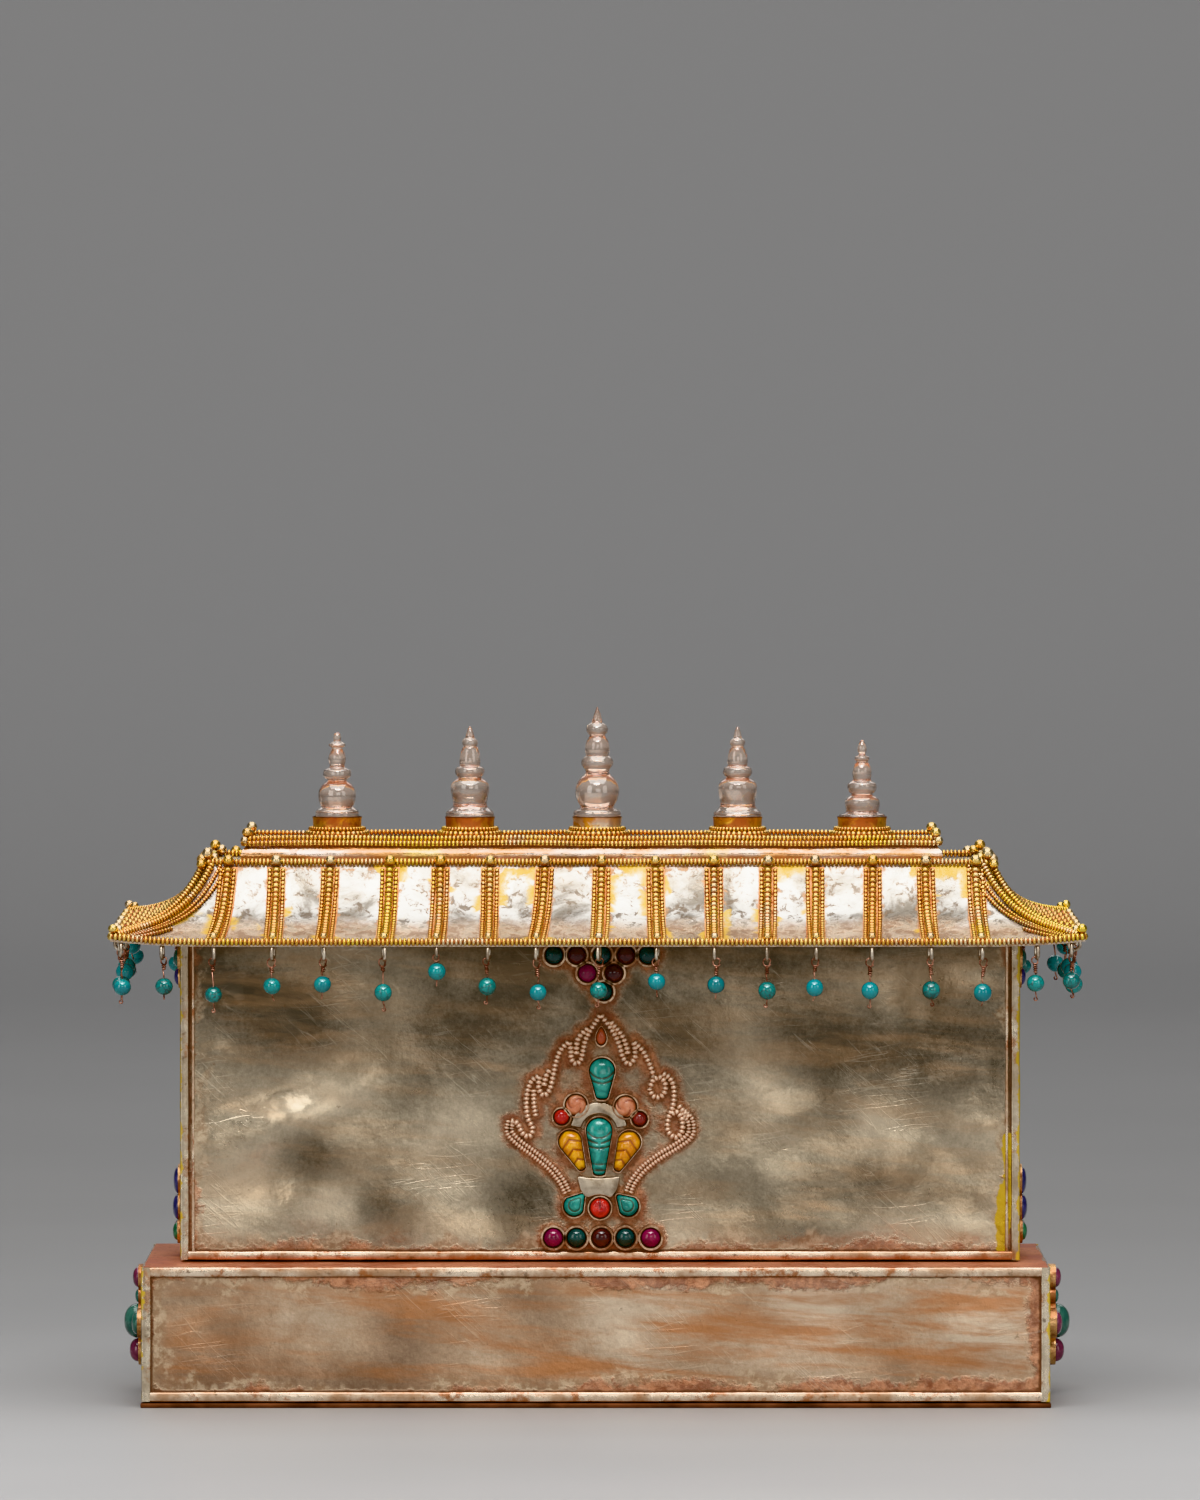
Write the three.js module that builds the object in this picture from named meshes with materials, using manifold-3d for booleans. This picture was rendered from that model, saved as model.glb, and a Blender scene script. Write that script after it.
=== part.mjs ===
// Silver altar box with a gilt, hipped temple roof: a low plinth, a hollow box body framed by
// flat rails, and a lift-off roof with beaded ribs, a crown with five rock-crystal finials and
// a fringe of turquoise beads. Millimetres, +Z up, the jewelled face looks along -Y, and the
// origin is under the middle of the box, on the surface it stands on.

import * as THREE from 'three';
import { mergeVertices } from 'three/addons/utils/BufferGeometryUtils.js';
import Module from 'manifold-3d';

const wasm = await Module();
wasm.setup();

// ---- Driving dimensions ------------------------------------------------------------------

const SHEET = 1.0;        // sheet metal of the walls
const GAP = 0.3;          // play between large pieces that rest on each other
const SEAT = 0.15;        // play under and around small set pieces

// Each rectangular piece: x is its middle, halfX and halfY its half length and half depth.
const PLATE = { x: -1.05, halfX: 113.4, halfY: 45.2, bottom: 0, top: 1.2 };
const PLINTH = { x: -1.05, halfX: 113.2, halfY: 45, bottom: 1.5, top: 35.4, rail: 2.4, proud: 0.6 };
const BODY = { x: 0, halfX: 105.1, halfY: 27, bottom: 35.7, top: 115.6, rail: 2.2, proud: 0.6 };
const EAVE = { x: -0.6, halfX: 120.9, halfY: 55, top: 115.9, lip: 0.9, rope: 0.95 };
const DECK = { halfX: 97.4, halfY: 32, top: 134.7, rope: 1.0 };
const CROWN = { x: -2.1, halfX: 86.7, halfY: 21.6, bottom: 135.0, top: 140.1, rope: 0.8 };

const SOFFIT = { thickness: 0.8, rim: 2, opening: 2.6, edge: 2.6, inner: 8, rise: 0.2 };
const ROPE_SIDES = 4;
const FRONT_CORNER_LIFT = 1.3;    // the eave corners turn up, the back ones more
const BACK_CORNER_LIFT = 3.2;
const LIFT_START = 0.8;           // share of the half side where the turn-up begins
const SLOPE_STEEP = 0.55;         // share of the roof's fall that is in its steep upper part
const SLOPE_LEVELS = [0, 0.15, 0.35, 0.65, 1];

const RIB = { width: 4.6, height: 1.6, ball: 1.4 };
const HIP = { width: 6, height: 2.2, reach: 0.95 };    // reach: how far out a hip's rope goes
const FRONT_RIB_TOPS = [-92.8, -80.8, -67.3, -52.4, -39.8, -27.4, -13.8, 0.4,
  13.8, 28.4, 42.0, 53.7, 68.1, 81.3, 93.8];
const FRONT_RIB_FEET = [-95.9, -81.2, -68.6, -53.6, -40.6, -27.7, -15.8, -0.3,
  14.2, 28.4, 41.5, 53.6, 67.5, 82.0, 94.6];
const SIDE_RIBS = [-26, -13, 0, 13, 26];
const SIDE_RIB_SPREAD = 1.25;     // a side rib's foot lies this much further from the middle

const FRINGE = { inset: 1.6, beadRadius: 2.18, wire: 0.4 };
const HANGING_STRIP = { half: 0.5, top: -0.35, bottom: -0.85 };    // heights from the eave
const CORNER_HANGERS = { left: [0.6, 11], right: [10, 1.4] };    // from the ends of the fringe
const FRONT_DROPS = [11.2, 10.3, 12.0, 9.9, 9.5, 11.5, 6.3, 10.0, 11.5, 11.0,
  8.8, 9.6, 11.0, 10.3, 11.0, 10.9, 11.5, 9.5, 9.5];
const SIDE_HANGERS = [-34, -17, 0, 17, 34];
const FIRST_SIDE_DROP = 2;        // the ends take their drops from this one of the front on

const COLLAR = { foot: 140.4, top: 145.2, ringRadius: 8.2, cupRadius: 6.0 };
const FINIALS = [
  { x: -66.3, height: 21.7, flange: 6.0, globe: 4.75, disc: 3.6, ovoid: 2.0, knob: 2.1 },
  { x: -32.8, height: 23.2, flange: 6.1, globe: 4.9, disc: 3.75, ovoid: 2.7, knob: 2.0 },
  { x: -0.7, height: 28.3, flange: 6.0, globe: 5.6, disc: 4.0, ovoid: 3.1, knob: 2.75 },
  { x: 34.7, height: 23.2, flange: 6.1, globe: 4.9, disc: 3.7, ovoid: 2.6, knob: 2.0 },
  { x: 66.1, height: 19.8, flange: 5.9, globe: 4.4, disc: 3.75, ovoid: 2.5, knob: 1.9 },
];

// ---- Materials ---------------------------------------------------------------------------

function metal(color, roughness) {
  return new THREE.MeshStandardMaterial({ color, roughness, metalness: 1 });
}

function stone(color, roughness = 0.2) {
  return new THREE.MeshStandardMaterial({ color, roughness, metalness: 0 });
}

const SILVER = 0xa39d88;
const COPPER = 0xb06a45;
const GILT = 0xd79a2b;
const CRYSTAL = 0xe6ded8;
const TURQUOISE = 0x1f9c97;
const CORAL = 0xd7302c;
const SALMON = 0xe0936a;
const AMBER = 0xe0a017;
const GARNET = 0x5a1520;
const RUBY = 0x8f1246;
const DARK_GREEN = 0x0c3a36;

// ---- Solids: every piece ends as one closed body ---------------------------------------------

// Keeps only the positions, welds them and drops the triangles that collapse on an axis.
function welded(geometry) {
  const bare = new THREE.BufferGeometry();
  bare.setAttribute('position', geometry.attributes.position.clone());
  if (geometry.index) bare.setIndex(geometry.index.clone());
  const merged = mergeVertices(bare, 1e-4);
  const corners = merged.index.array;
  const kept = [];
  for (let i = 0; i < corners.length; i += 3) {
    const [a, b, c] = [corners[i], corners[i + 1], corners[i + 2]];
    if (a !== b && b !== c && c !== a) kept.push(a, b, c);
  }
  merged.setIndex(kept);
  return merged;
}

function solidOf(geometry) {
  const mesh = welded(geometry);
  return new wasm.Manifold(new wasm.Mesh({
    numProp: 3,
    vertProperties: mesh.attributes.position.array,
    triVerts: Uint32Array.from(mesh.index.array),
  }));
}

function geometryOf(solid) {
  const mesh = solid.getMesh();
  const geometry = new THREE.BufferGeometry();
  geometry.setAttribute('position', new THREE.BufferAttribute(mesh.vertProperties, 3));
  geometry.setIndex(Array.from(mesh.triVerts));
  return geometry;
}

function fused(geometries) {
  return geometryOf(geometries.map(solidOf).reduce((whole, next) => whole.add(next)));
}

function cut(geometry, cutters) {
  return geometryOf(cutters.map(solidOf).reduce((left, next) => left.subtract(next), solidOf(geometry)));
}

function piece(name, geometry, material) {
  const mesh = new THREE.Mesh(geometry, material);
  mesh.name = name;
  return mesh;
}

function block(x0, x1, y0, y1, z0, z1) {
  const box = new THREE.BoxGeometry(x1 - x0, y1 - y0, z1 - z0);
  return box.translate((x0 + x1) / 2, (y0 + y1) / 2, (z0 + z1) / 2);
}

// A turned solid standing on Z: profile points are [radius, height], from the bottom up.
function turned(profile, sides) {
  const points = profile.map(([radius, height]) => new THREE.Vector2(radius, height));
  return welded(new THREE.LatheGeometry(points, sides).rotateX(Math.PI / 2));
}

// Skins a stack of rings that have equal numbers of points. The first and last rings are
// capped, unless the stack closes on itself.
function loft(rings, closed = false) {
  const count = rings[0].length;
  const index = [];
  const spans = closed ? rings.length : rings.length - 1;
  for (let k = 0; k < spans; k++) {
    const near = k * count;
    const far = ((k + 1) % rings.length) * count;
    for (let i = 0; i < count; i++) {
      const j = (i + 1) % count;
      index.push(near + i, far + i, near + j, near + j, far + i, far + j);
    }
  }
  if (!closed) {
    const last = (rings.length - 1) * count;
    const flat = (ring) => ring.map((point) => new THREE.Vector2(point.x, point.y));
    for (const [a, b, c] of THREE.ShapeUtils.triangulateShape(flat(rings[0]), [])) {
      index.push(a, b, c);
    }
    for (const [a, b, c] of THREE.ShapeUtils.triangulateShape(flat(rings[rings.length - 1]), [])) {
      index.push(last + c, last + b, last + a);
    }
  }
  const geometry = new THREE.BufferGeometry().setFromPoints(rings.flat());
  geometry.setIndex(index);
  return geometry;
}

// ---- Plate, plinth and body ---------------------------------------------------------------------

// A box of sheet with panels sunk between its rails. An open one has no top and no top rails,
// and the other is open below.
function framedBox(size, openTop) {
  const { x, halfX, halfY, bottom, top, rail, proud } = size;
  const wall = SHEET + proud;
  const low = openTop ? bottom + SHEET : bottom - 1;
  const high = openTop ? top + 1 : top - SHEET;
  const cutters = [
    block(x - halfX + wall, x + halfX - wall, -halfY + wall, halfY - wall, low, high),
  ];
  const [z0, z1] = [bottom + rail, openTop ? top + 1 : top - rail];
  for (const side of [-1, 1]) {
    const [face, inner] = [side * (halfY + 1), side * (halfY - proud)];
    cutters.push(block(x - halfX + rail, x + halfX - rail,
      Math.min(face, inner), Math.max(face, inner), z0, z1));
    const [end, innerEnd] = [side * (halfX + 1), side * (halfX - proud)];
    cutters.push(block(x + Math.min(end, innerEnd), x + Math.max(end, innerEnd),
      -halfY + rail, halfY - rail, z0, z1));
  }
  return cut(block(x - halfX, x + halfX, -halfY, halfY, bottom, top), cutters);
}

function basePlate() {
  const { x, halfX, halfY, bottom, top } = PLATE;
  return piece('base_plate', block(x - halfX, x + halfX, -halfY, halfY, bottom, top),
    metal(COPPER, 0.45));
}

// ---- Roof ---------------------------------------------------------------------------------------

// Share of the full fall at a share of the way out from the deck's edge to the eave.
function fall(out) {
  return SLOPE_STEEP * (1 - (1 - out) ** 4) + (1 - SLOPE_STEEP) * out;
}

function mix(a, b, share) {
  return a + (b - a) * share;
}

const FRONT_STOPS = [-1, -0.96, -0.9, -LIFT_START, 0, LIFT_START, 0.9, 0.96];
const SIDE_STOPS = [-1, -0.5, 0, 0.5];

// How far the eave is lifted at a share of the way along a side; back is -1 at the front.
function cornerLift(along, back) {
  const turn = Math.max(0, (Math.abs(along) - LIFT_START) / (1 - LIFT_START)) ** 2;
  if (Math.abs(back) === 1) return (back < 0 ? FRONT_CORNER_LIFT : BACK_CORNER_LIFT) * turn;
  return mix(FRONT_CORNER_LIFT, BACK_CORNER_LIFT, (back + 1) / 2);
}

// A plain rectangular ring of four corners.
function plainRing(halfX, halfY, z, x = EAVE.x) {
  return [[-1, -1], [1, -1], [1, 1], [-1, 1]].map(([along, back]) => (
    new THREE.Vector3(x + along * halfX, back * halfY, z)));
}

// A ring round the roof with stops along its sides. lift is the share of the corners' turn-up
// it takes.
function roofRing(halfX, halfY, z, lift) {
  const ring = [];
  for (const stop of FRONT_STOPS) ring.push([stop, -1]);
  for (const stop of SIDE_STOPS) ring.push([1, stop]);
  for (const stop of FRONT_STOPS) ring.push([-stop, 1]);
  for (const stop of SIDE_STOPS) ring.push([-1, -stop]);
  return ring.map(([along, back]) => new THREE.Vector3(
    EAVE.x + along * halfX, back * halfY, z + lift * cornerLift(along, back)));
}

function slopeRing(out, inset = 0, drop = 0) {
  return roofRing(mix(DECK.halfX, EAVE.halfX, out) - inset, mix(DECK.halfY, EAVE.halfY, out) - inset,
    slopeHeight(out) - drop, out * out);
}

function slopeHeight(out) {
  return DECK.top - (DECK.top - EAVE.top) * fall(out);
}

// The sheet of the roof: down the outside, round the lip, in along the soffit to the opening
// over the body, and up the inside to the underside of the deck.
function roofShell() {
  const { halfX, halfY, top, lip } = EAVE;
  const { thickness, rim, opening, edge, inner, rise } = SOFFIT;
  const inset = (by, z) => roofRing(halfX - by, halfY - by, z, 1);
  const roundBody = (by, z) => roofRing(BODY.halfX + by, BODY.halfY + by, z, 0);
  const soffit = BODY.top + GAP;
  const rings = SLOPE_LEVELS.map((out) => slopeRing(out));
  rings.push(inset(0, top - lip), inset(lip, top - lip));
  rings.push(inset(lip, top - rise), inset(edge, top - rise));
  rings.push(roundBody(rim, soffit), roundBody(-opening, soffit));
  rings.push(roundBody(-opening, soffit + thickness), roundBody(rim, soffit + thickness));
  rings.push(roofRing(halfX - inner, halfY - inner, soffit + thickness, 0.7));
  for (const out of [0.7, 0.35, 0]) rings.push(slopeRing(out, SHEET, SHEET));
  return piece('roof', geometryOf(solidOf(loft(rings))), metal(SILVER, 0.35));
}

// A round rope that follows a rectangle: ringAt gives its ring at an outset and a rise from
// the rope's middle.
function ropeLoop(radius, ringAt) {
  const rings = [];
  for (let k = 0; k < ROPE_SIDES; k++) {
    const turn = (2 * Math.PI * k) / ROPE_SIDES;
    rings.push(ringAt(radius * Math.cos(turn), -radius * Math.sin(turn)));
  }
  return loft(rings, true);
}

// Sections of a rib, as shares of its width and height: the back and the ends are plainer.
const FLAT_TOPPED = [[-0.5, 0], [-0.36, 1], [0.36, 1], [0.5, 0]];
const PEAKED = [[-0.5, 0], [0, 1], [0.5, 0]];

// A rib of rope laid down the slope: path points and the level direction across it.
function bandAlong(path, across, width, height, section = FLAT_TOPPED) {
  const rings = path.map((point) => section.map(([side, up]) => point.clone()
    .addScaledVector(across, side * width).add(new THREE.Vector3(0, 0, up * height))));
  const index = [];
  const count = section.length;
  for (let k = 0; k < rings.length - 1; k++) {
    for (let i = 0; i < count; i++) {
      const j = (i + 1) % count;
      const [a, b, c, d] = [k * count + i, k * count + j, (k + 1) * count + i, (k + 1) * count + j];
      index.push(a, c, b, b, c, d);
    }
  }
  const last = (rings.length - 1) * count;
  for (let i = 1; i < count - 1; i++) index.push(0, i, i + 1, last, last + i + 1, last + i);
  const geometry = new THREE.BufferGeometry().setFromPoints(rings.flat());
  geometry.setIndex(index);
  return geometry;
}

function ball(x, y, z, radius) {
  return new THREE.OctahedronGeometry(radius).translate(x, y, z);
}

// side is -1 on the front slope and 1 on the back one.
function longSlopeRib(topX, footX, side) {
  const path = SLOPE_LEVELS.map((out) => new THREE.Vector3(mix(topX, footX, out),
    side * mix(DECK.halfY, EAVE.halfY, out), slopeHeight(out) + GAP));
  const section = side < 0 ? FLAT_TOPPED : PEAKED;
  return bandAlong(path, new THREE.Vector3(-side, 0, 0), RIB.width, RIB.height, section);
}

// side is -1 on the left end slope and 1 on the right one.
function endSlopeRib(y, side) {
  const lift = cornerLift(1, y / EAVE.halfY);
  const path = SLOPE_LEVELS.map((out) => new THREE.Vector3(
    EAVE.x + side * mix(DECK.halfX, EAVE.halfX, out), y * mix(1, SIDE_RIB_SPREAD, out),
    slopeHeight(out) + lift * out * out + GAP));
  return bandAlong(path, new THREE.Vector3(0, side, 0), RIB.width, RIB.height, PEAKED);
}

function hipBand(sideX, sideY) {
  const back = sideY > 0 ? 1 : -1;
  const path = SLOPE_LEVELS.map((level) => level * HIP.reach).map((out) => new THREE.Vector3(
    EAVE.x + sideX * mix(DECK.halfX, EAVE.halfX, out), sideY * mix(DECK.halfY, EAVE.halfY, out),
    slopeHeight(out) + cornerLift(1, back) * out * out + GAP));
  const across = new THREE.Vector3(sideY, -sideX, 0).normalize().multiplyScalar(-1);
  const corner = path[path.length - 1];
  return [
    bandAlong(path, across, HIP.width, HIP.height),
    ball(corner.x, corner.y, corner.z + HIP.height, RIB.ball),
    ball(path[0].x, path[0].y, path[0].z + HIP.height / 2, RIB.ball),
  ];
}

function roofWirework() {
  const parts = [
    ropeLoop(EAVE.rope, (out, rise) => roofRing(EAVE.halfX - 0.2 + out, EAVE.halfY - 0.2 + out,
      EAVE.top + EAVE.rope + SEAT + rise, 1)),
    ropeLoop(DECK.rope, (out, rise) => plainRing(DECK.halfX + 0.2 + out, DECK.halfY + 0.2 + out,
      DECK.top + DECK.rope + SEAT + rise)),
  ];
  FRONT_RIB_TOPS.forEach((topX, i) => {
    parts.push(longSlopeRib(topX, FRONT_RIB_FEET[i], -1), longSlopeRib(topX, FRONT_RIB_FEET[i], 1));
    parts.push(ball(topX, -DECK.halfY - DECK.rope, DECK.top + DECK.rope, RIB.ball));
  });
  for (const side of [-1, 1]) {
    for (const y of SIDE_RIBS) parts.push(endSlopeRib(y, side));
    for (const back of [-1, 1]) parts.push(...hipBand(side, back));
  }
  return piece('roof_wirework', fused(parts), metal(GILT, 0.3));
}

// ---- Crown, collars and finials --------------------------------------------------------------------

function crownRing(outset, z) {
  return plainRing(CROWN.halfX + outset, CROWN.halfY + outset, z, CROWN.x);
}

// A shallow tray of sheet, open below, with a rounded fascia and a stepped rim.
function crown() {
  const { bottom, top } = CROWN;
  const rings = [
    crownRing(-1, top), crownRing(-1, top - 1.3), crownRing(-0.2, top - 1.3),
    crownRing(0.35, bottom + 2.3), crownRing(0, bottom),
    crownRing(-SHEET, bottom), crownRing(-SHEET, top - 2.4),
    crownRing(-2 * SHEET, top - SHEET),
  ];
  return piece('crown', geometryOf(solidOf(loft(rings))), metal(SILVER, 0.3));
}

function crownRopes() {
  const { halfX, halfY, top, rope, x } = CROWN;
  const parts = [
    ropeLoop(rope, (out, rise) => crownRing(out, top - 0.2 + rise)),
    ropeLoop(rope, (out, rise) => crownRing(out - 0.6, top + 1 + rise)),
  ];
  for (const sideX of [-1, 1]) {
    for (const sideY of [-1, 1]) {
      parts.push(ball(x + sideX * halfX, sideY * halfY, top + 1.6, RIB.ball));
    }
  }
  return piece('crown_ropes', fused(parts), metal(GILT, 0.3));
}

// A gilt cup on two rings of rope; each finial stands in one.
function collar({ x }, number) {
  const { foot, top, ringRadius, cupRadius } = COLLAR;
  const profile = [
    [0, foot], [ringRadius, foot], [ringRadius, foot + 1.5], [ringRadius - 1.1, foot + 1.7],
    [ringRadius - 1.2, foot + 2.6], [cupRadius, foot + 2.8], [cupRadius, top], [0, top],
  ];
  const mesh = piece(`collar_${number}`, turned(profile, 10), metal(GILT, 0.35));
  mesh.position.x = x;
  return mesh;
}

// A turned crystal: flange, globe, disc, ovoid, knob and pointed tip.
function finial({ x, height, flange, globe, disc, ovoid, knob }, number) {
  const profile = [
    [0, 0], [flange, 0], [flange, 0.06], [globe * 0.8, 0.1], [globe, 0.19], [globe, 0.28],
    [globe * 0.62, 0.39], [disc, 0.45], [disc, 0.52], [ovoid * 0.85, 0.56], [ovoid, 0.64],
    [ovoid * 0.62, 0.76], [knob, 0.81], [knob, 0.85], [knob * 0.55, 0.88], [0, 1],
  ].map(([radius, share]) => [radius, share * height]);
  const mesh = piece(`crystal_${number}`, turned(profile, 8), stone(CRYSTAL, 0.08));
  mesh.position.set(x, 0, COLLAR.top + GAP);
  return mesh;
}

// ---- Fringe of turquoise beads ------------------------------------------------------------------------

// One hanger, from the strip down: a wire with a bead on its end.
function hanger(x, y, z, drop) {
  const { beadRadius, wire } = FRINGE;
  const profile = [
    [0, -drop - beadRadius], [beadRadius * 0.87, -drop - beadRadius / 2],
    [beadRadius * 0.87, -drop + beadRadius / 2], [wire, -drop + beadRadius],
    [wire, 0.2], [0, 0.2],
  ];
  return turned(profile, 4).translate(x, y, z);
}

function fringe() {
  const { inset } = FRINGE;
  const [halfX, halfY] = [EAVE.halfX - inset, EAVE.halfY - inset];
  const stripBottom = EAVE.top + HANGING_STRIP.bottom;
  const stripTop = EAVE.top + HANGING_STRIP.top;
  const edge = (by, z) => roofRing(halfX + by, halfY + by, z, 1);
  const parts = [loft([
    edge(HANGING_STRIP.half, stripTop), edge(HANGING_STRIP.half, stripBottom),
    edge(-HANGING_STRIP.half, stripBottom), edge(-HANGING_STRIP.half, stripTop),
  ], true)];
  const hangerXs = [
    ...CORNER_HANGERS.left.map((along) => EAVE.x - halfX + along), ...FRONT_RIB_FEET,
    ...CORNER_HANGERS.right.map((along) => EAVE.x + halfX - along),
  ];
  const backDrops = [...FRONT_DROPS].reverse();
  hangerXs.forEach((x, i) => {
    const along = (x - EAVE.x) / halfX;
    parts.push(hanger(x, -halfY, stripBottom + cornerLift(along, -1), FRONT_DROPS[i]));
    parts.push(hanger(x, halfY, stripBottom + cornerLift(along, 1), backDrops[i]));
  });
  for (const side of [-1, 1]) {
    SIDE_HANGERS.forEach((y, i) => {
      parts.push(hanger(EAVE.x + side * halfX, y, stripBottom + cornerLift(1, y / EAVE.halfY),
        FRONT_DROPS[i + FIRST_SIDE_DROP]));
    });
  }
  return piece('fringe', fused(parts), stone(TURQUOISE, 0.4));
}

// ---- Jewelled ornaments: modelled flat, X to the right, Y up and Z out of the wall -----------------------

const CABOCHON_SIDES = 6;

function puck(x, y, radius, height) {
  const disc = turned([[0, 0], [radius, 0], [radius, height], [0, height]], CABOCHON_SIDES);
  return disc.rotateZ(Math.PI / CABOCHON_SIDES).translate(x, y, 0);
}

function dome(x, y, radius, foot, height) {
  const profile = [[0, 0], [radius, 0], [radius * 0.75, height * 0.7], [0, height]];
  return turned(profile, CABOCHON_SIDES).translate(x, y, foot);
}

// A drop-shaped outline, its wide round end towards +Y, turned by tilt.
function dropOutline(width, height) {
  const round = width / 2;
  const shape = new THREE.Shape();
  shape.moveTo(-round * 0.35, -height / 2);
  shape.lineTo(round * 0.35, -height / 2);
  shape.lineTo(round, height / 2 - round);
  shape.absarc(0, height / 2 - round, round, 0, Math.PI, false);
  shape.lineTo(-round * 0.35, -height / 2);
  return shape;
}

function dropSolid(width, height, depth, bevel) {
  const shape = dropOutline(width - 2 * bevel, height - 2 * bevel);
  const settings = { depth: depth - bevel, steps: 1, curveSegments: 4, bevelEnabled: bevel > 0,
    bevelThickness: bevel, bevelSize: bevel, bevelSegments: 1 };
  const geometry = new THREE.ExtrudeGeometry(shape, settings);
  return geometry;
}

// Slices off what lies behind Z = 0, the lower bevel of a drop, so that it has a flat back.
function flatBacked(geometry) {
  const reach = 40;
  return geometryOf(solidOf(geometry).intersect(solidOf(block(-reach, reach, -reach, reach, 0, reach))));
}

const SETTING_HEIGHT = 1.0;
const STONE_FOOT = SETTING_HEIGHT + SEAT;

// The drop-shaped stones of the medallion; z is the height above the floor of the box.
const DROPS = [
  { name: 'turquoise_upper', x: 0.5, z: 81.2, width: 6.8, height: 10.6, tilt: 0, color: TURQUOISE },
  { name: 'turquoise_centre', x: -0.2, z: 64.2, width: 7.0, height: 14.8, tilt: 0, color: TURQUOISE },
  { name: 'amber_left', x: -6.5, z: 63.2, width: 6.2, height: 11.0, tilt: 0.42, color: AMBER },
  { name: 'amber_right', x: 6.3, z: 63.0, width: 6.2, height: 11.0, tilt: -0.42, color: AMBER },
  { name: 'green_left', x: -6.1, z: 49.8, width: 5.6, height: 6.8, tilt: 2.45, color: TURQUOISE },
  { name: 'green_right', x: 6.6, z: 49.7, width: 5.6, height: 6.8, tilt: -2.35, color: TURQUOISE },
];
const ROUNDS = [
  { name: 'coral_left', x: -6.0, z: 74.6, radius: 2.6, color: SALMON },
  { name: 'coral_right', x: 6.4, z: 74.2, radius: 2.6, color: SALMON },
  { name: 'red_ball_left', x: -9.6, z: 71.6, radius: 1.9, color: CORAL },
  { name: 'red_ball_right', x: 9.9, z: 71.1, radius: 1.8, color: GARNET },
  { name: 'coral_round', x: 0, z: 48.8, radius: 2.5, color: CORAL },
];
const FOOT_ROW = [
  [-11.7, RUBY], [-5.9, DARK_GREEN], [0.35, GARNET], [6.4, DARK_GREEN], [12.7, RUBY],
].map(([x, color], i) => ({ name: `foot_stone_${i + 1}`, x, z: 41.3, radius: 2.35, color }));
const TOP_STONES = [
  [-11.5, 112.1, DARK_GREEN], [-5.8, 112.1, GARNET], [0.5, 112.1, DARK_GREEN], [6.5, 112.1, GARNET],
  [12.0, 112.1, DARK_GREEN], [-3.2, 107.6, RUBY], [3.5, 107.6, GARNET], [0.9, 103.0, DARK_GREEN],
].map(([x, z, color], i) => ({ name: `eave_stone_${i + 1}`, x, z, radius: 2.2, color }));

const CRESCENT = { x: -0.2, z: 68.8, radius: 7.2, from: 0.1 };    // silver plate over the middle drop
const CUP = [[-5.4, 56.8], [-3.7, 51.3], [3.2, 51.3], [5.0, 56.8]];    // and the one under it
const STONE_RIM = 0.6;    // how far a setting stands out round its stone

function sawnPlate(shape, height) {
  return new THREE.ExtrudeGeometry(shape, { depth: height, bevelEnabled: false, curveSegments: 8 });
}

function medallionSettings() {
  const parts = DROPS.map(({ x, z, width, height, tilt }) => {
    const plate = dropSolid(width + 1.6, height + 1, SETTING_HEIGHT, 0);
    return plate.rotateZ(tilt).translate(x, z, 0);
  });
  for (const { x, z, radius } of ROUNDS) {
    parts.push(puck(x, z, radius + STONE_RIM, SETTING_HEIGHT));
  }
  const crescent = new THREE.Shape();
  crescent.absarc(CRESCENT.x, CRESCENT.z, CRESCENT.radius, CRESCENT.from, Math.PI - CRESCENT.from, false);
  parts.push(sawnPlate(crescent, SETTING_HEIGHT - 0.1));
  const cup = new THREE.Shape(CUP.map(([x, z]) => new THREE.Vector2(x, z)));
  parts.push(sawnPlate(cup, SETTING_HEIGHT));
  return piece('medallion_settings', fused(parts), metal(SILVER, 0.4));
}

function dropStone({ name, x, z, width, height, tilt, color }) {
  const mesh = piece(name, flatBacked(dropSolid(width - 0.8, height - 0.8, 1.7, 0.9)), stone(color, 0.35));
  mesh.rotation.z = tilt;
  mesh.position.set(x, z, STONE_FOOT);
  return mesh;
}

function roundStone({ name, x, z, radius, color }) {
  return piece(name, dome(x, z, radius, STONE_FOOT, radius * 0.6), stone(color, 0.15));
}

// Half of the medallion's beaded outline: scroll hooks stepping down to the widest point, and
// a rope sweeping in to the foot. side is -1 on the left.
function outlineWires(side) {
  const strands = [
    [[0, 97.2], [2.2, 94.4], [4.2, 91], [4.8, 87.6], [6.6, 85.6], [8.2, 87.5], [7.4, 90.6]],
    [[7.4, 90.6], [9.6, 89.4], [12.2, 84.6], [13, 79.4], [15, 77.6], [16.6, 79.8], [15.6, 82.6]],
    [[15.6, 82.6], [18.4, 80.4], [18, 75], [17.4, 70.6], [19.4, 68.6], [21.2, 70.8], [19.6, 74.6]],
    [[19.6, 74.6], [22, 72.6], [21.6, 68.6], [15.6, 64], [10.4, 58.2], [8, 52.6]],
  ];
  return strands.map((points) => {
    const curve = new THREE.CatmullRomCurve3(points.map(([x, z]) => new THREE.Vector3(side * x, z, 0.75)));
    const section = new THREE.Shape();
    section.absarc(0, 0, 0.6, 0, 2 * Math.PI, false);
    return new THREE.ExtrudeGeometry(section, { steps: 7, curveSegments: 2, extrudePath: curve });
  });
}

function medallionWire() {
  return piece('medallion_wire', fused([...outlineWires(-1), ...outlineWires(1)]), metal(SILVER, 0.35));
}

function crestStone() {
  const setting = dropSolid(3.9, 5.0, SETTING_HEIGHT, 0);
  const crest = flatBacked(dropSolid(2.6, 3.6, 1.9, 0.7));
  const mesh = piece('crest_stone', fused([setting, crest]), stone(CORAL));
  mesh.rotation.z = Math.PI;
  mesh.position.set(0.3, 91.8, 0);
  return mesh;
}

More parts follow.
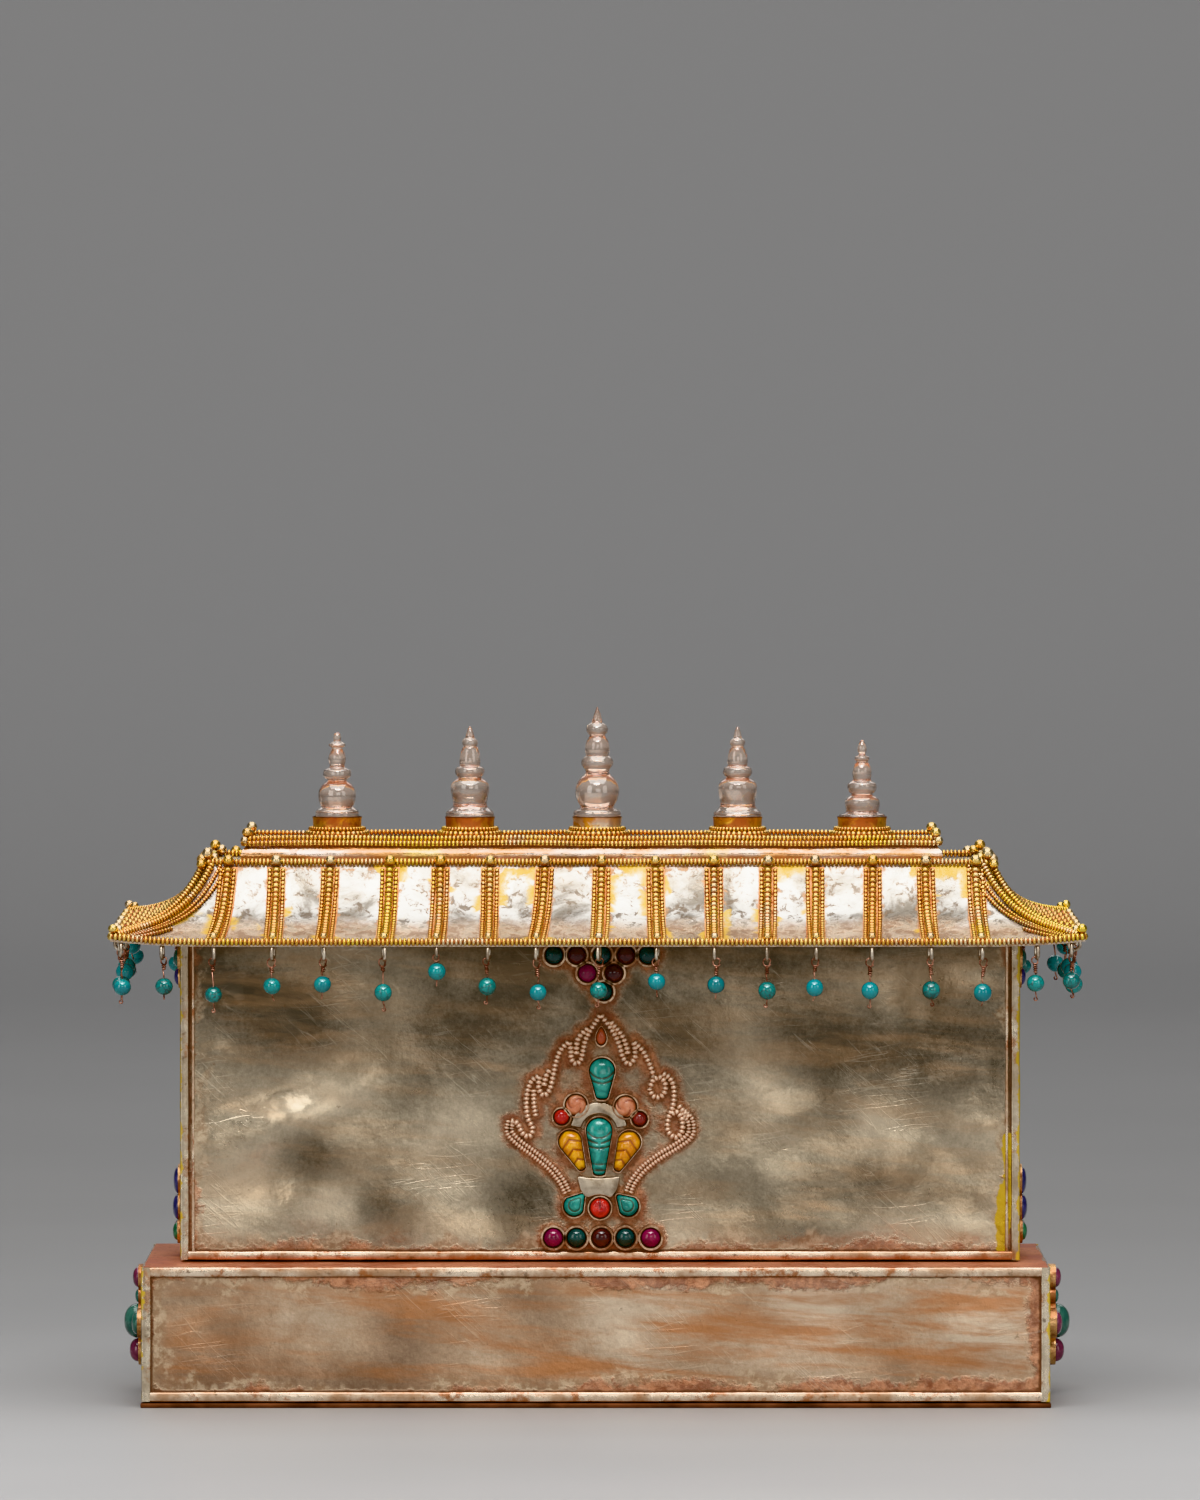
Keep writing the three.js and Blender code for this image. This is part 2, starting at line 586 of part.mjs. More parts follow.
function pucksUnder(name, stones, radius) {
  return piece(name, fused(stones.map(({ x, z }) => puck(x, z, radius, SETTING_HEIGHT))), metal(SILVER, 0.4));
}

// A cluster of cabochons in touching settings, all one piece: [x, y, stone radius, height].
function cluster(name, stones) {
  const parts = [];
  for (const [x, y, radius, height] of stones) {
    parts.push(puck(x, y, radius + 0.75, SETTING_HEIGHT));
    parts.push(dome(x, y, radius, SETTING_HEIGHT - 0.1, height));
  }
  return piece(name, fused(parts), stone(RUBY));
}

// A group whose local X, Y, Z become right, up and outward on the wall at the given turn.
function wall(turn, distance, pieces) {
  const upright = new THREE.Group();
  upright.rotation.x = Math.PI / 2;
  upright.position.y = -distance;
  upright.add(...pieces);
  const turnedGroup = new THREE.Group();
  turnedGroup.rotation.z = turn;
  turnedGroup.add(upright);
  return turnedGroup;
}

function frontOrnament() {
  return wall(0, BODY.halfY - BODY.proud + SEAT, [
    medallionSettings(), medallionWire(), crestStone(), ...DROPS.map(dropStone), ...ROUNDS.map(roundStone),
    pucksUnder('foot_settings', FOOT_ROW, 3.3), ...FOOT_ROW.map(roundStone),
    pucksUnder('eave_settings', TOP_STONES, 3.4), ...TOP_STONES.map(roundStone),
  ]);
}

function endOrnaments(side, label) {
  const turn = (side * Math.PI) / 2;
  const top = [[-5.4, 110.5, 2.2, 1.2], [0, 110.5, 2.2, 1.2], [5.4, 110.5, 2.2, 1.2], [0, 105.6, 2.2, 1.2]];
  const foot = [[-5.5, 41.6, 2.3, 1.3], [0, 41.6, 2.3, 1.3], [5.5, 41.6, 2.3, 1.3], [0, 47.4, 3.2, 1.5],
    [0, 54.1, 3.4, 1.3]];
  const rosette = [[0, 18.6, 4.4, 3.8], [0, 11.2, 3, 2.4], [0, 24.9, 1.7, 1], [0, 29.6, 2.6, 1.6],
    [-8.4, 18.6, 3, 1.6], [8.4, 18.6, 3, 1.6]];
  const bodyFace = BODY.halfX - BODY.proud + SEAT;
  const plinthFace = PLINTH.halfX + side * PLINTH.x - PLINTH.proud + SEAT;
  return [
    wall(turn, bodyFace, [cluster(`${label}_eave_cluster`, top), cluster(`${label}_body_cluster`, foot)]),
    wall(turn, plinthFace, [cluster(`${label}_plinth_cluster`, rosette)]),
  ];
}

// ---- The whole box ------------------------------------------------------------------------------------

const altarBox = new THREE.Group();
altarBox.add(basePlate());
altarBox.add(piece('plinth', framedBox(PLINTH, false), metal(SILVER, 0.4)));
altarBox.add(piece('box_body', framedBox(BODY, true), metal(SILVER, 0.35)));
altarBox.add(roofShell());
altarBox.add(roofWirework());
altarBox.add(crown());
altarBox.add(crownRopes());
FINIALS.forEach((size, i) => altarBox.add(collar(size, i + 1), finial(size, i + 1)));
altarBox.add(fringe());
altarBox.add(frontOrnament());
altarBox.add(...endOrnaments(-1, 'left'), ...endOrnaments(1, 'right'));

export default altarBox;
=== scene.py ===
import math
import random

import bmesh
import bpy
import numpy as np
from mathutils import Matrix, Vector


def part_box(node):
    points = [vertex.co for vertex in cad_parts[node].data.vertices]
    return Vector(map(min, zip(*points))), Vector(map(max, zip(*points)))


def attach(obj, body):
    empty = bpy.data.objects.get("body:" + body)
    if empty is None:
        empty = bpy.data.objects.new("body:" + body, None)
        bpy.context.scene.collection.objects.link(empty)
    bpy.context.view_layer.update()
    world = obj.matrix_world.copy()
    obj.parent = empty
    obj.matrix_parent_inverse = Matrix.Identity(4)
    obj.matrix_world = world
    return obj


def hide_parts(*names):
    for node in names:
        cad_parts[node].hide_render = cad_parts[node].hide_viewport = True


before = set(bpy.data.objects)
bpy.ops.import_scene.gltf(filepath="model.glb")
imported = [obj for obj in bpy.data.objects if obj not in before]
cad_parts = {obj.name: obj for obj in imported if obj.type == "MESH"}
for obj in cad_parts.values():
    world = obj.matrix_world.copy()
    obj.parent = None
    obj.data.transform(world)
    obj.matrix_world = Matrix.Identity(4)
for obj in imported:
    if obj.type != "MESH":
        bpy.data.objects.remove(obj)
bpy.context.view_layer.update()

# ---- The studio ----
# A pale seamless sweep of paper under soft overhead and side boxes, and the
# long lens that looks at the jewelled face of the box from just above its base.

MM = 0.001
LENS_AT = (0.0, -3.177, 0.245925)
LENS_DROP = 1.50026
LENS_LENGTH = 302.4
SENSOR_WIDTH = 36


def added(adder, **sizes):
    """Adds a primitive, lamp or camera with nothing else selected, and hands it over."""
    bpy.ops.object.select_all(action="DESELECT")
    adder(**sizes)
    return bpy.context.object


camera = added(bpy.ops.object.camera_add, location=LENS_AT, rotation=(math.radians(90 - LENS_DROP), 0, 0))
camera.name = "long_lens"
camera.data.lens = LENS_LENGTH
camera.data.sensor_width = SENSOR_WIDTH
camera.data.clip_end = 30
bpy.context.scene.camera = camera
bpy.context.scene.view_settings.view_transform = "Khronos PBR Neutral"


def new_material(name, roughness=0.5, metallic=0.0):
    """A material, its node tree and its shader, with the shader's plain values set."""
    material = bpy.data.materials.new(name)
    material.use_nodes = True
    shader = material.node_tree.nodes["Principled BSDF"]
    shader.inputs["Roughness"].default_value = roughness
    shader.inputs["Metallic"].default_value = metallic
    return material, material.node_tree, shader


def add_node(tree, kind, inputs=None, **settings):
    """A node with its settings made and its inputs either linked or set."""
    made = tree.nodes.new(kind)
    for setting, value in settings.items():
        setattr(made, setting, value)
    for key, value in (inputs or {}).items():
        if isinstance(value, bpy.types.NodeSocket):
            tree.links.new(value, made.inputs[key])
        else:
            made.inputs[key].default_value = value
    return made


def piece_place(tree):
    return add_node(tree, "ShaderNodeTexCoord").outputs["Object"]


def on_piece(tree, scale=(1, 1, 1)):
    """The place on the piece in metres, stretched for a pattern."""
    return add_node(tree, "ShaderNodeMapping", {"Vector": piece_place(tree), "Scale": scale}).outputs[0]


def mottle(place, scale, detail=4.0, roughness=0.55, distortion=0.0):
    """A cloudy pattern from 0 to 1."""
    return add_node(place.id_data, "ShaderNodeTexNoise", {
        "Vector": place, "Scale": scale, "Detail": detail,
        "Roughness": roughness, "Distortion": distortion}).outputs["Fac"]


def band(value, low, high, start=0.0, end=1.0):
    """Runs a value from start at low to end at high, and holds it outside."""
    return add_node(value.id_data, "ShaderNodeMapRange", {
        "Value": value, "From Min": low, "From Max": high,
        "To Min": start, "To Max": end}, interpolation_type="SMOOTHSTEP").outputs[0]


def sums(operation, first, second=0.5, third=0.0):
    """One sum worked on a pattern."""
    return add_node(first.id_data, "ShaderNodeMath", {0: first, 1: second, 2: third},
                    operation=operation).outputs[0]


def times(first, second):
    return sums("MULTIPLY", first, second)


def layer(amount, under, over, share=None):
    """One colour laid over another by an amount, of which only a share may count."""
    amount = times(amount, share) if share is not None else amount
    under, over = [(*colour, 1) if isinstance(colour, tuple) else colour for colour in (under, over)]
    return add_node(amount.id_data, "ShaderNodeMixRGB", {
        "Fac": amount, "Color1": under, "Color2": over}).outputs[0]


def place_axis(tree, axis):
    return add_node(tree, "ShaderNodeSeparateXYZ", {0: piece_place(tree)}).outputs[axis]


def connect(shader, colour, roughness=None, bump=None, metallic=None):
    """Links the finished patterns to the shader."""
    for name, pattern in (("Base Color", colour), ("Roughness", roughness), ("Normal", bump),
                          ("Metallic", metallic)):
        if pattern:
            shader.id_data.links.new(pattern, shader.inputs[name])


def take(piece):
    """Leaves edit mode and makes one piece the only one selected."""
    if bpy.context.object and bpy.context.object.mode != "OBJECT":
        bpy.ops.object.mode_set(mode="OBJECT")
    bpy.ops.object.select_all(action="DESELECT")
    bpy.context.view_layer.objects.active = piece
    piece.select_set(True)


def edit(piece):
    take(piece)
    bpy.ops.object.mode_set(mode="EDIT")


def pick(piece, kind, test):
    """In edit mode, selects only the faces, edges or vertices that pass a test."""
    bpy.ops.mesh.select_mode(type={"faces": "FACE", "edges": "EDGE", "verts": "VERT"}[kind])
    bpy.ops.mesh.select_all(action="DESELECT")
    shape = bmesh.from_edit_mesh(piece.data)
    for part in getattr(shape, kind):
        if test(part):
            part.select_set(True)
    bmesh.update_edit_mesh(piece.data)


PAPER_WIDTH = 14.0
PAPER_FRONT = -9.0
PAPER_BACK = 4.0
PAPER_RISE = 5.0
PAPER_CURVE = 1.6
PAPER_STEPS = 24

paper = added(bpy.ops.mesh.primitive_plane_add, size=1, location=(0, (PAPER_FRONT + PAPER_BACK) / 2, 0))
paper.name = "paper_sweep"
paper.scale = (PAPER_WIDTH, PAPER_BACK - PAPER_FRONT, 1)
bpy.ops.object.transform_apply()
edit(paper)
pick(paper, "edges", lambda line: all(end.co.y > PAPER_BACK - 0.01 for end in line.verts))
bpy.ops.mesh.extrude_region_move(TRANSFORM_OT_translate={"value": (0, 0, PAPER_RISE)})
pick(paper, "edges", lambda line: all(end.co.y > PAPER_BACK - 0.01 and end.co.z < 0.01
                                      for end in line.verts))
bpy.ops.mesh.bevel(offset=PAPER_CURVE, segments=PAPER_STEPS, affect="EDGES")
bpy.ops.object.mode_set(mode="OBJECT")
bpy.ops.object.shade_smooth()
paper_grey, tree, shader = new_material("paper_grey", roughness=0.5)
grain = mottle(on_piece(tree), 3.0, 3)
tint = layer(band(grain, 0.3, 0.7), (0.365, 0.36, 0.36), (0.395, 0.39, 0.39))
# The paper is painted darker just behind the box, as painted shade where less light reaches, and lighter
# far back up the sweep, as painted light.
depth = place_axis(tree, 1)
tint = layer(band(depth, -0.25, 0.35, 0.0, 0.5), tint, (0.11, 0.11, 0.11))
tint = layer(band(depth, 0.5, 3.3), tint, (0.44, 0.44, 0.445))
connect(shader, tint)
paper.data.materials.append(paper_grey)


def soft_box(name, place, aim, width, height, power, color=(1, 1, 1)):
    """A studio soft box that faces a point."""
    light = added(bpy.ops.object.light_add, type="AREA", location=place)
    light.name = name
    light.rotation_euler = (Vector(aim) - Vector(place)).to_track_quat("-Z", "Y").to_euler()
    light.data.shape = "RECTANGLE"
    light.data.size = width
    light.data.size_y = height
    light.data.energy = power
    light.data.color = color


soft_box("overhead_box", (0.0, -0.3, 1.65), (0, 0.0, 0.1), 1.9, 1.7, 29)
soft_box("overhead_core", (0.0, -1.0, 1.25), (0, 0, 0.1), 0.7, 0.42, 10)
soft_box("left_box", (-2.0, -2.4, 1.0), (0, 0, 0.1), 1.4, 1.9, 18, (1.0, 0.97, 0.93))
soft_box("right_box", (2.1, -2.3, 0.95), (0, 0, 0.1), 1.3, 1.8, 12, (1.0, 0.95, 0.89))
soft_box("front_box", (0.35, -3.9, 0.85), (0, 0, 0.1), 1.7, 1.1, 11, (1.0, 0.97, 0.93))
soft_box("rim_box", (0.0, 1.5, 1.1), (0, 0, 0.15), 1.8, 0.5, 3.5)
soft_box("sweep_box", (0.0, 1.9, 3.1), (0, 3.5, 0.5), 3.0, 0.8, 24)

studio_air = bpy.data.worlds.new("studio_air")
studio_air.use_nodes = True
background = studio_air.node_tree.nodes["Background"]
background.inputs["Color"].default_value = (0.20, 0.195, 0.19, 1)
background.inputs["Strength"].default_value = 0.8
bpy.context.scene.world = studio_air


# ---- Base plate ----
# A flat sheet of reddish copper that closes the box below. Its cut edge shows
# as a thin dark line under the plinth, and is a little rubbed.

def added_block(low, high):
    """A cube primitive brought to the size and place between two corners."""
    middle = [(a + b) / 2 for a, b in zip(low, high)]
    block = added(bpy.ops.mesh.primitive_cube_add, size=1, location=middle)
    block.scale = [b - a for a, b in zip(low, high)]
    bpy.ops.object.transform_apply()
    return block


def cut_along(piece, axis, cuts):
    """In edit mode, cuts across every edge that runs along one axis."""
    def runs_along(line):
        run = line.verts[1].co - line.verts[0].co
        return abs(run[axis]) > 0.99 * run.length
    pick(piece, "edges", runs_along)
    bpy.ops.mesh.subdivide(number_cuts=cuts)


def apply_modifiers(piece):
    take(piece)
    for modifier in list(piece.modifiers):
        bpy.ops.object.modifier_apply(modifier=modifier.name)


def smoothed(degrees):
    """Shades what is selected smooth, but for edges sharper than an angle."""
    bpy.ops.object.shade_smooth_by_angle(angle=math.radians(degrees))


def rounded(piece, width, segments=2, angle=35):
    """Rounds the sharp edges and shades the rest smooth."""
    bevel = piece.modifiers.new("rounding", "BEVEL")
    bevel.width = width
    bevel.segments = segments
    bevel.limit_method = "ANGLE"
    bevel.angle_limit = math.radians(angle)
    apply_modifiers(piece)
    smoothed(angle)


def relief(height, depth, under=None):
    """Bump of a real depth in metres, over any bump already there."""
    inputs = {"Height": height, "Distance": depth, "Strength": 1.0}
    if under:
        inputs["Normal"] = under
    return add_node(height.id_data, "ShaderNodeBump", inputs).outputs[0]


plate_low, plate_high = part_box("base_plate")
PLATE_CUTS = (60, 24)
base_plate = added_block(plate_low, plate_high)
edit(base_plate)
for axis, cuts in enumerate(PLATE_CUTS):
    cut_along(base_plate, axis, cuts)
bpy.ops.object.mode_set(mode="OBJECT")
rounded(base_plate, 0.3 * MM)
base_plate.name = "copper_base_plate"

copper, tree, shader = new_material("red_copper", roughness=0.42, metallic=1.0)
spots = mottle(on_piece(tree), 90, 5, 0.6)
streaks = mottle(on_piece(tree, (1, 1, 12)), 160, 3)
# The copper is painted very dark: its own red-brown, darkened further as painted shade so that its edge
# reads as the shadow line under the plinth.
tint = layer(band(spots, 0.35, 0.65), (0.09, 0.035, 0.02), (0.24, 0.10, 0.055))
tint = layer(band(streaks, 0.52, 0.72), tint, (0.16, 0.08, 0.05))
connect(shader, tint, band(spots, 0.3, 0.7, 0.3, 0.6), relief(spots, 0.2 * MM))
base_plate.data.materials.append(copper)
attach(base_plate, "root")
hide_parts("base_plate")


# ---- Plinth ----
# A low case of thin silver sheet with a copper wash, under a salmon-red top
# sheet. Flat strips and corner angles are soldered along its edges, with rough
# dark solder and orange patina inside them.

STRIP_PROUD = 0.6 * MM
SHEET_THICK = 0.5 * MM
STIFF_EDGE = 8 * MM


def points_of(piece):
    """The places of a piece's points, a row for each."""
    places = np.empty(len(piece.data.vertices) * 3)
    piece.data.vertices.foreach_get("co", places)
    return places.reshape(-1, 3)


def mark(piece, name, values):
    """Keeps a number at every point of a piece, for its material to read."""
    piece.data.attributes.new(name, "FLOAT", "POINT").data.foreach_set("value", values)


def weigh(piece, name, shares):
    """A vertex group of a piece, with a share for each of its points."""
    group = piece.vertex_groups.new(name=name)
    for index, share in enumerate(shares):
        group.add([index], share, "REPLACE")


def sheet_case(low, high, cuts, covered, strip_above=True):
    """Four walls of sheet round a box, cut into small faces that can be dented.

    "seam" is how far each point lies from the nearest strip's inner edge."""
    case = added_block(low, high)
    edit(case)
    pick(case, "faces", lambda face: abs(face.normal.z) > 0.9)
    bpy.ops.mesh.delete(type="FACE")
    for axis, count in enumerate(cuts):
        cut_along(case, axis, count)
    bpy.ops.object.mode_set(mode="OBJECT")
    points = points_of(case)
    inside = np.minimum(points - np.array(low), np.array(high) - points)
    on_long_wall = inside[:, 1] < 0.01 * MM
    across = np.where(on_long_wall, inside[:, 0], inside[:, 1])
    upward = inside[:, 2] if strip_above else points[:, 2] - low[2]
    seam = np.minimum(across - covered[0], upward - covered[1])
    mark(case, "seam", seam)
    weigh(case, "open_field", [min(1.0, (max(0.0, reach) / STIFF_EDGE) ** 1.5) for reach in seam])
    return case


def spotted_tarnish_and_light(piece, spots):
    """Keeps at each point how much the sheet is painted darker, below 0, or brighter: tarnish together with
    painted shade and painted highlights that stand in for the sheet's reflections.

    spots are (x, z, reach, amount) in mm."""
    points = points_of(piece) / MM
    tarnish_and_painted_light = np.zeros(len(points))
    for x, z, reach, amount in spots:
        tarnish_and_painted_light += amount * np.exp(-((points[:, 0] - x) ** 2 + (1.25 * (points[:, 2] - z)) ** 2) / reach ** 2)
    mark(piece, "tarnish_and_painted_light", tarnish_and_painted_light)


def dented(piece, name, size, depth, group=""):
    """Pushes the surface in and out along its normals in soft clouds."""
    clouds = bpy.data.textures.new(name, "CLOUDS")
    clouds.noise_scale = size
    clouds.noise_depth = 1
    bend = piece.modifiers.new(name, "DISPLACE")
    bend.texture = clouds
    bend.strength = depth
    bend.mid_level = 0.5
    bend.direction = "NORMAL"
    if group:
        bend.vertex_group = group
    apply_modifiers(piece)


def given_thickness(piece, thickness):
    """Thickens a sheet inwards, with its front left where it is."""
    wall = piece.modifiers.new("wall", "SOLIDIFY")
    wall.thickness = thickness
    wall.offset = -1
    apply_modifiers(piece)
    smoothed(50)


def off_line(point, start, end):
    """Distance from a point to a straight run between two others."""
    run = end - start
    share = max(0.0, min(1.0, (point - start).dot(run) / max(run.length_squared, 1e-12)))
    return (point - start - run * share).length


def pressed(piece, spots, front_y):
    """Presses soft dents, swellings and creases into the front of a sheet, given in mm."""
    for x, z, end_x, end_z, depth, reach in spots:
        start, end = Vector((x * MM, front_y, z * MM)), Vector((end_x * MM, front_y, end_z * MM))
        edit(piece)
        pick(piece, "verts", lambda point: off_line(point.co, start, end) < 1.1 * MM)
        bpy.ops.transform.translate(value=(0, depth * MM, 0), use_proportional_edit=True,
                                    proportional_edit_falloff="SMOOTH", proportional_size=reach * MM,
                                    use_proportional_connected=True)
    bpy.ops.object.mode_set(mode="OBJECT")


def stretched(tree, turn, long):
    """The place on the piece, drawn out along a line turned about Y."""
    return add_node(tree, "ShaderNodeMapping", {
        "Vector": piece_place(tree), "Rotation": (0, turn, 0), "Scale": (long, 1, 1)},
        vector_type="TEXTURE").outputs[0]


def scaled(value, factor, more):
    """value × factor + more"""
    return sums("MULTIPLY_ADD", value, factor, more)


def larger(first, second):
    return sums("MAXIMUM", first, second)


def attribute(tree, name):
    return add_node(tree, "ShaderNodeAttribute", attribute_name=name).outputs["Fac"]


def colour_ramp(value, stops):
    """Colours blended along a value; the first two stops are the ramp's own."""
    ramp = add_node(value.id_data, "ShaderNodeValToRGB", {"Fac": value})
    elements = ramp.color_ramp.elements
    for index, (position, colour) in enumerate(stops):
        if index > 1:
            elements.new(position).color = (*colour, 1)
        else:
            elements[index].position, elements[index].color = position, (*colour, 1)
    return ramp.outputs[0]


def fine_scratches(tree, turn, scale):
    """Thin lines from 0 to 1 that run mostly one way."""
    lines = mottle(stretched(tree, turn, 16), scale, 2, 0.4, 0.2)
    line = band(sums("ABSOLUTE", sums("SUBTRACT", lines, 0.55)), 0.0, 0.014, 1.0, 0.0)
    return times(line, band(mottle(on_piece(tree), 45, 3), 0.46, 0.64))


def tarnished_silver(name, tones, swing, painted_height_shade, wash, wash_share, rust_share, low, high, gloss):
    """Worn silver sheet: clouds of tarnish, painted shade that runs with height, listed spots of tarnish
    with painted shade and painted highlights, a copper wash in flat streaks, a pale crust and orange patina
    along the seams and round the settings, dark solder, fine pits and scratches."""
    material, tree, shader = new_material(name)
    place = on_piece(tree)
    clouds = mottle(place, 26, 5, 0.6, 0.4)
    wide = mottle(on_piece(tree, (1, 1, 1.5)), 9, 3, 0.5)
    patches = mottle(place, 70, 5, 0.62, 0.6)
    grain = mottle(place, 420, 6, 0.7)
    streaks = mottle(stretched(tree, 0.06, 7), 150, 6, 0.65, 0.4)
    seam = attribute(tree, "seam")
    height = band(place_axis(tree, 2), low, high)
    fine = mottle(place, 1300, 4, 0.7)
    tone = scaled(sums("ADD", clouds, wide), swing, 0.5 - swing)
    # Painted shade that runs with height: on the body the tone falls towards the top, under the eave, and
    # on the plinth it rises towards the top.
    tone = sums("ADD", tone, scaled(height, -painted_height_shade, painted_height_shade / 2))
    # Listed spots of tarnish with painted shade and painted highlights, laid on the tone.
    tone = sums("ADD", tone, times(attribute(tree, "tarnish_and_painted_light"), band(clouds, 0.30, 0.60, 0.5, 1.3)))
    tone = scaled(grain, 0.16, sums("ADD", tone, -0.08))
    tone = scaled(fine, 0.20, sums("ADD", tone, -0.10))
    colour = colour_ramp(tone, list(zip((0.32, 0.72, 0.51), (tones[0], tones[2], tones[1]))))
    washed = times(band(streaks, 0.40, 0.66), band(scaled(patches, 0.4, wide), 0.50, 0.78, 0.45, 1.0))
    bared = band(scaled(patches, -9 * MM, seam), -4.5 * MM, 0.5 * MM)
    colour = layer(times(washed, bared), colour, wash, wash_share)
    ragged = scaled(band(patches, 0.36, 0.66), 5.5 * MM, scaled(grain, 5 * MM, -3.7 * MM))
    crust = band(sums("SUBTRACT", seam, ragged), 0.0, 2.6 * MM, 1.0, 0.0)
    crust_tone = layer(band(grain, 0.42, 0.58), (0.34, 0.21, 0.12), (0.62, 0.49, 0.34))
    colour = layer(crust, colour, crust_tone, 0.62)
    ragged = scaled(band(clouds, 0.40, 0.62), 4.0 * MM, scaled(grain, 6 * MM, -4.0 * MM))
    edge_rust = band(sums("SUBTRACT", seam, ragged), -0.4 * MM, 1.5 * MM, 1.0, 0.0)
    halo = attribute(tree, "halo")
    blotch = mottle(place, 170, 6, 0.72, 0.6)
    stain = band(scaled(blotch, 1.3, halo), 0.85, 1.45)
    stain_tone = layer(band(fine, 0.40, 0.60), (0.36, 0.175, 0.10), (0.58, 0.42, 0.30))
    colour = layer(stain, colour, stain_tone, 0.55)
    burn = band(scaled(fine, 0.7, scaled(blotch, 1.4, halo)), 1.56, 2.02)
    rust = larger(times(edge_rust, rust_share), times(burn, 0.72))
    rust_tone = layer(band(mottle(place, 260, 6, 0.7), 0.40, 0.62),
                      (0.25, 0.070, 0.034), (0.58, 0.26, 0.14))
    colour = layer(rust, colour, rust_tone)
    solder = band(scaled(grain, -1.6 * MM, seam), -0.7 * MM, 0.0, 1.0, 0.0)
    colour = layer(solder, colour, (0.12, 0.045, 0.02), 0.85)
    pits = band(grain, 0.64, 0.72)
    colour = layer(pits, colour, (0.20, 0.10, 0.045), 0.5)
    scratch = larger(fine_scratches(tree, 0.75, 420), fine_scratches(tree, -0.12, 360))
    colour = layer(scratch, colour, (0.95, 0.86, 0.68), 0.15)
    paint = band(scaled(patches, 1.5, attribute(tree, "paint")), 1.30, 1.40)
    colour = layer(paint, colour, (0.58, 0.40, 0.03), 0.92)
    dull = larger(larger(rust, solder), larger(paint, times(crust, 0.5)))
    rough = scaled(clouds, 0.2, scaled(grain, 0.16, gloss - 0.16))
    bump = relief(mottle(place, 120, 4, 0.55), 0.38 * MM)
    for pattern, depth in ((grain, 0.07 * MM), (fine, 0.035 * MM), (scratch, 0.03 * MM),
                           (times(larger(rust, solder), grain), 0.5 * MM)):
        bump = relief(pattern, depth, bump)
    connect(shader, colour, scaled(dull, 0.25, rough), bump, scaled(dull, -0.5, 1.0))
    return material


plinth_low, plinth_high = [Vector(corner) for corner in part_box("plinth")]
PLINTH_STRIP = 2.4 * MM
PLINTH_CUTS = (150, 60, 24)
# (x, z, depth, reach) in mm
PLINTH_DENTS = [
    (-94, 16, 0.5, 9), (-70, 17, 0.4, 12), (-60, 12, -0.4, 10), (-24, 22, 0.3, 14), (30, 20, -0.3, 12),
    (66, 15, 0.35, 14), (92, 22, -0.45, 11), (98, 10, 0.35, 8),
]
inset = Vector((STRIP_PROUD, STRIP_PROUD, PLINTH_STRIP * 0.4))
plinth_walls = sheet_case(plinth_low + inset, plinth_high - inset, PLINTH_CUTS,
                          (PLINTH_STRIP - STRIP_PROUD, PLINTH_STRIP * 0.6))
dented(plinth_walls, "plinth_swell", 24 * MM, 1.3 * MM, "open_field")
dented(plinth_walls, "plinth_ripple", 8 * MM, 0.22 * MM, "open_field")
pressed(plinth_walls, [(x, z, x, z, depth, reach) for x, z, depth, reach in PLINTH_DENTS],
        plinth_low.y + STRIP_PROUD)
given_thickness(plinth_walls, SHEET_THICK)
# Listed spots where the plinth's sheet is painted darker or lighter: tarnish with painted shade and painted
# highlights.
spotted_tarnish_and_light(plinth_walls, [
    (-48, 22, 11, -0.15), (-17, 27, 8, -0.12), (-52, 8, 10, -0.10), (20, 9, 12, -0.08), (76, 8, 14, -0.10),
    (36, 27, 10, -0.10), (-104, 22, 8, 0.14), (-77, 20, 14, 0.12), (54, 28, 13, 0.10), (98, 20, 12, 0.16),
    (-60, 12, 8, 0.08), (4, 18, 16, 0.06), (-92, 9, 7, -0.10)
])
plinth_walls.name = "plinth_walls"
plinth_walls.data.materials.append(tarnished_silver(
    "washed_silver", ((0.31, 0.215, 0.15), (0.52, 0.38, 0.265), (0.76, 0.63, 0.48)), 0.55, -0.1,
    (0.53, 0.25, 0.12), 0.9, 0.75, plinth_low.z, plinth_high.z, 0.35))
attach(plinth_walls, "root")
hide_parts("plinth")

plinth_top = added(bpy.ops.mesh.primitive_grid_add, x_subdivisions=120, y_subdivisions=50, size=1)
plinth_top.name = "plinth_top_sheet"
plinth_top.scale = (plinth_high.x - plinth_low.x - 2 * STRIP_PROUD,
                    plinth_high.y - plinth_low.y - 2 * STRIP_PROUD, 1)
plinth_top.location = ((plinth_low.x + plinth_high.x) / 2, 0, plinth_high.z - 0.25 * MM)
bpy.ops.object.transform_apply()
dented(plinth_top, "top_swell", 26 * MM, 0.35 * MM)
given_thickness(plinth_top, SHEET_THICK)

salmon_wash, tree, shader = new_material("salmon_wash", metallic=0.35)
clouds = mottle(on_piece(tree), 45, 6, 0.65)
powder = mottle(on_piece(tree), 600, 4, 0.6)
tint = layer(band(clouds, 0.35, 0.65), (0.40, 0.105, 0.052), (0.62, 0.27, 0.16))
tint = layer(band(powder, 0.55, 0.72), tint, (0.24, 0.08, 0.03))
connect(shader, tint, band(clouds, 0.3, 0.7, 0.45, 0.75), relief(powder, 0.08 * MM))
plinth_top.data.materials.append(salmon_wash)
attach(plinth_top, "root")


def joined(name, pieces):
    """Joins several pieces into the first one."""
    take(pieces[0])
    for piece in pieces:
        piece.select_set(True)
    bpy.ops.object.join()
    pieces[0].name = name
    return pieces[0]


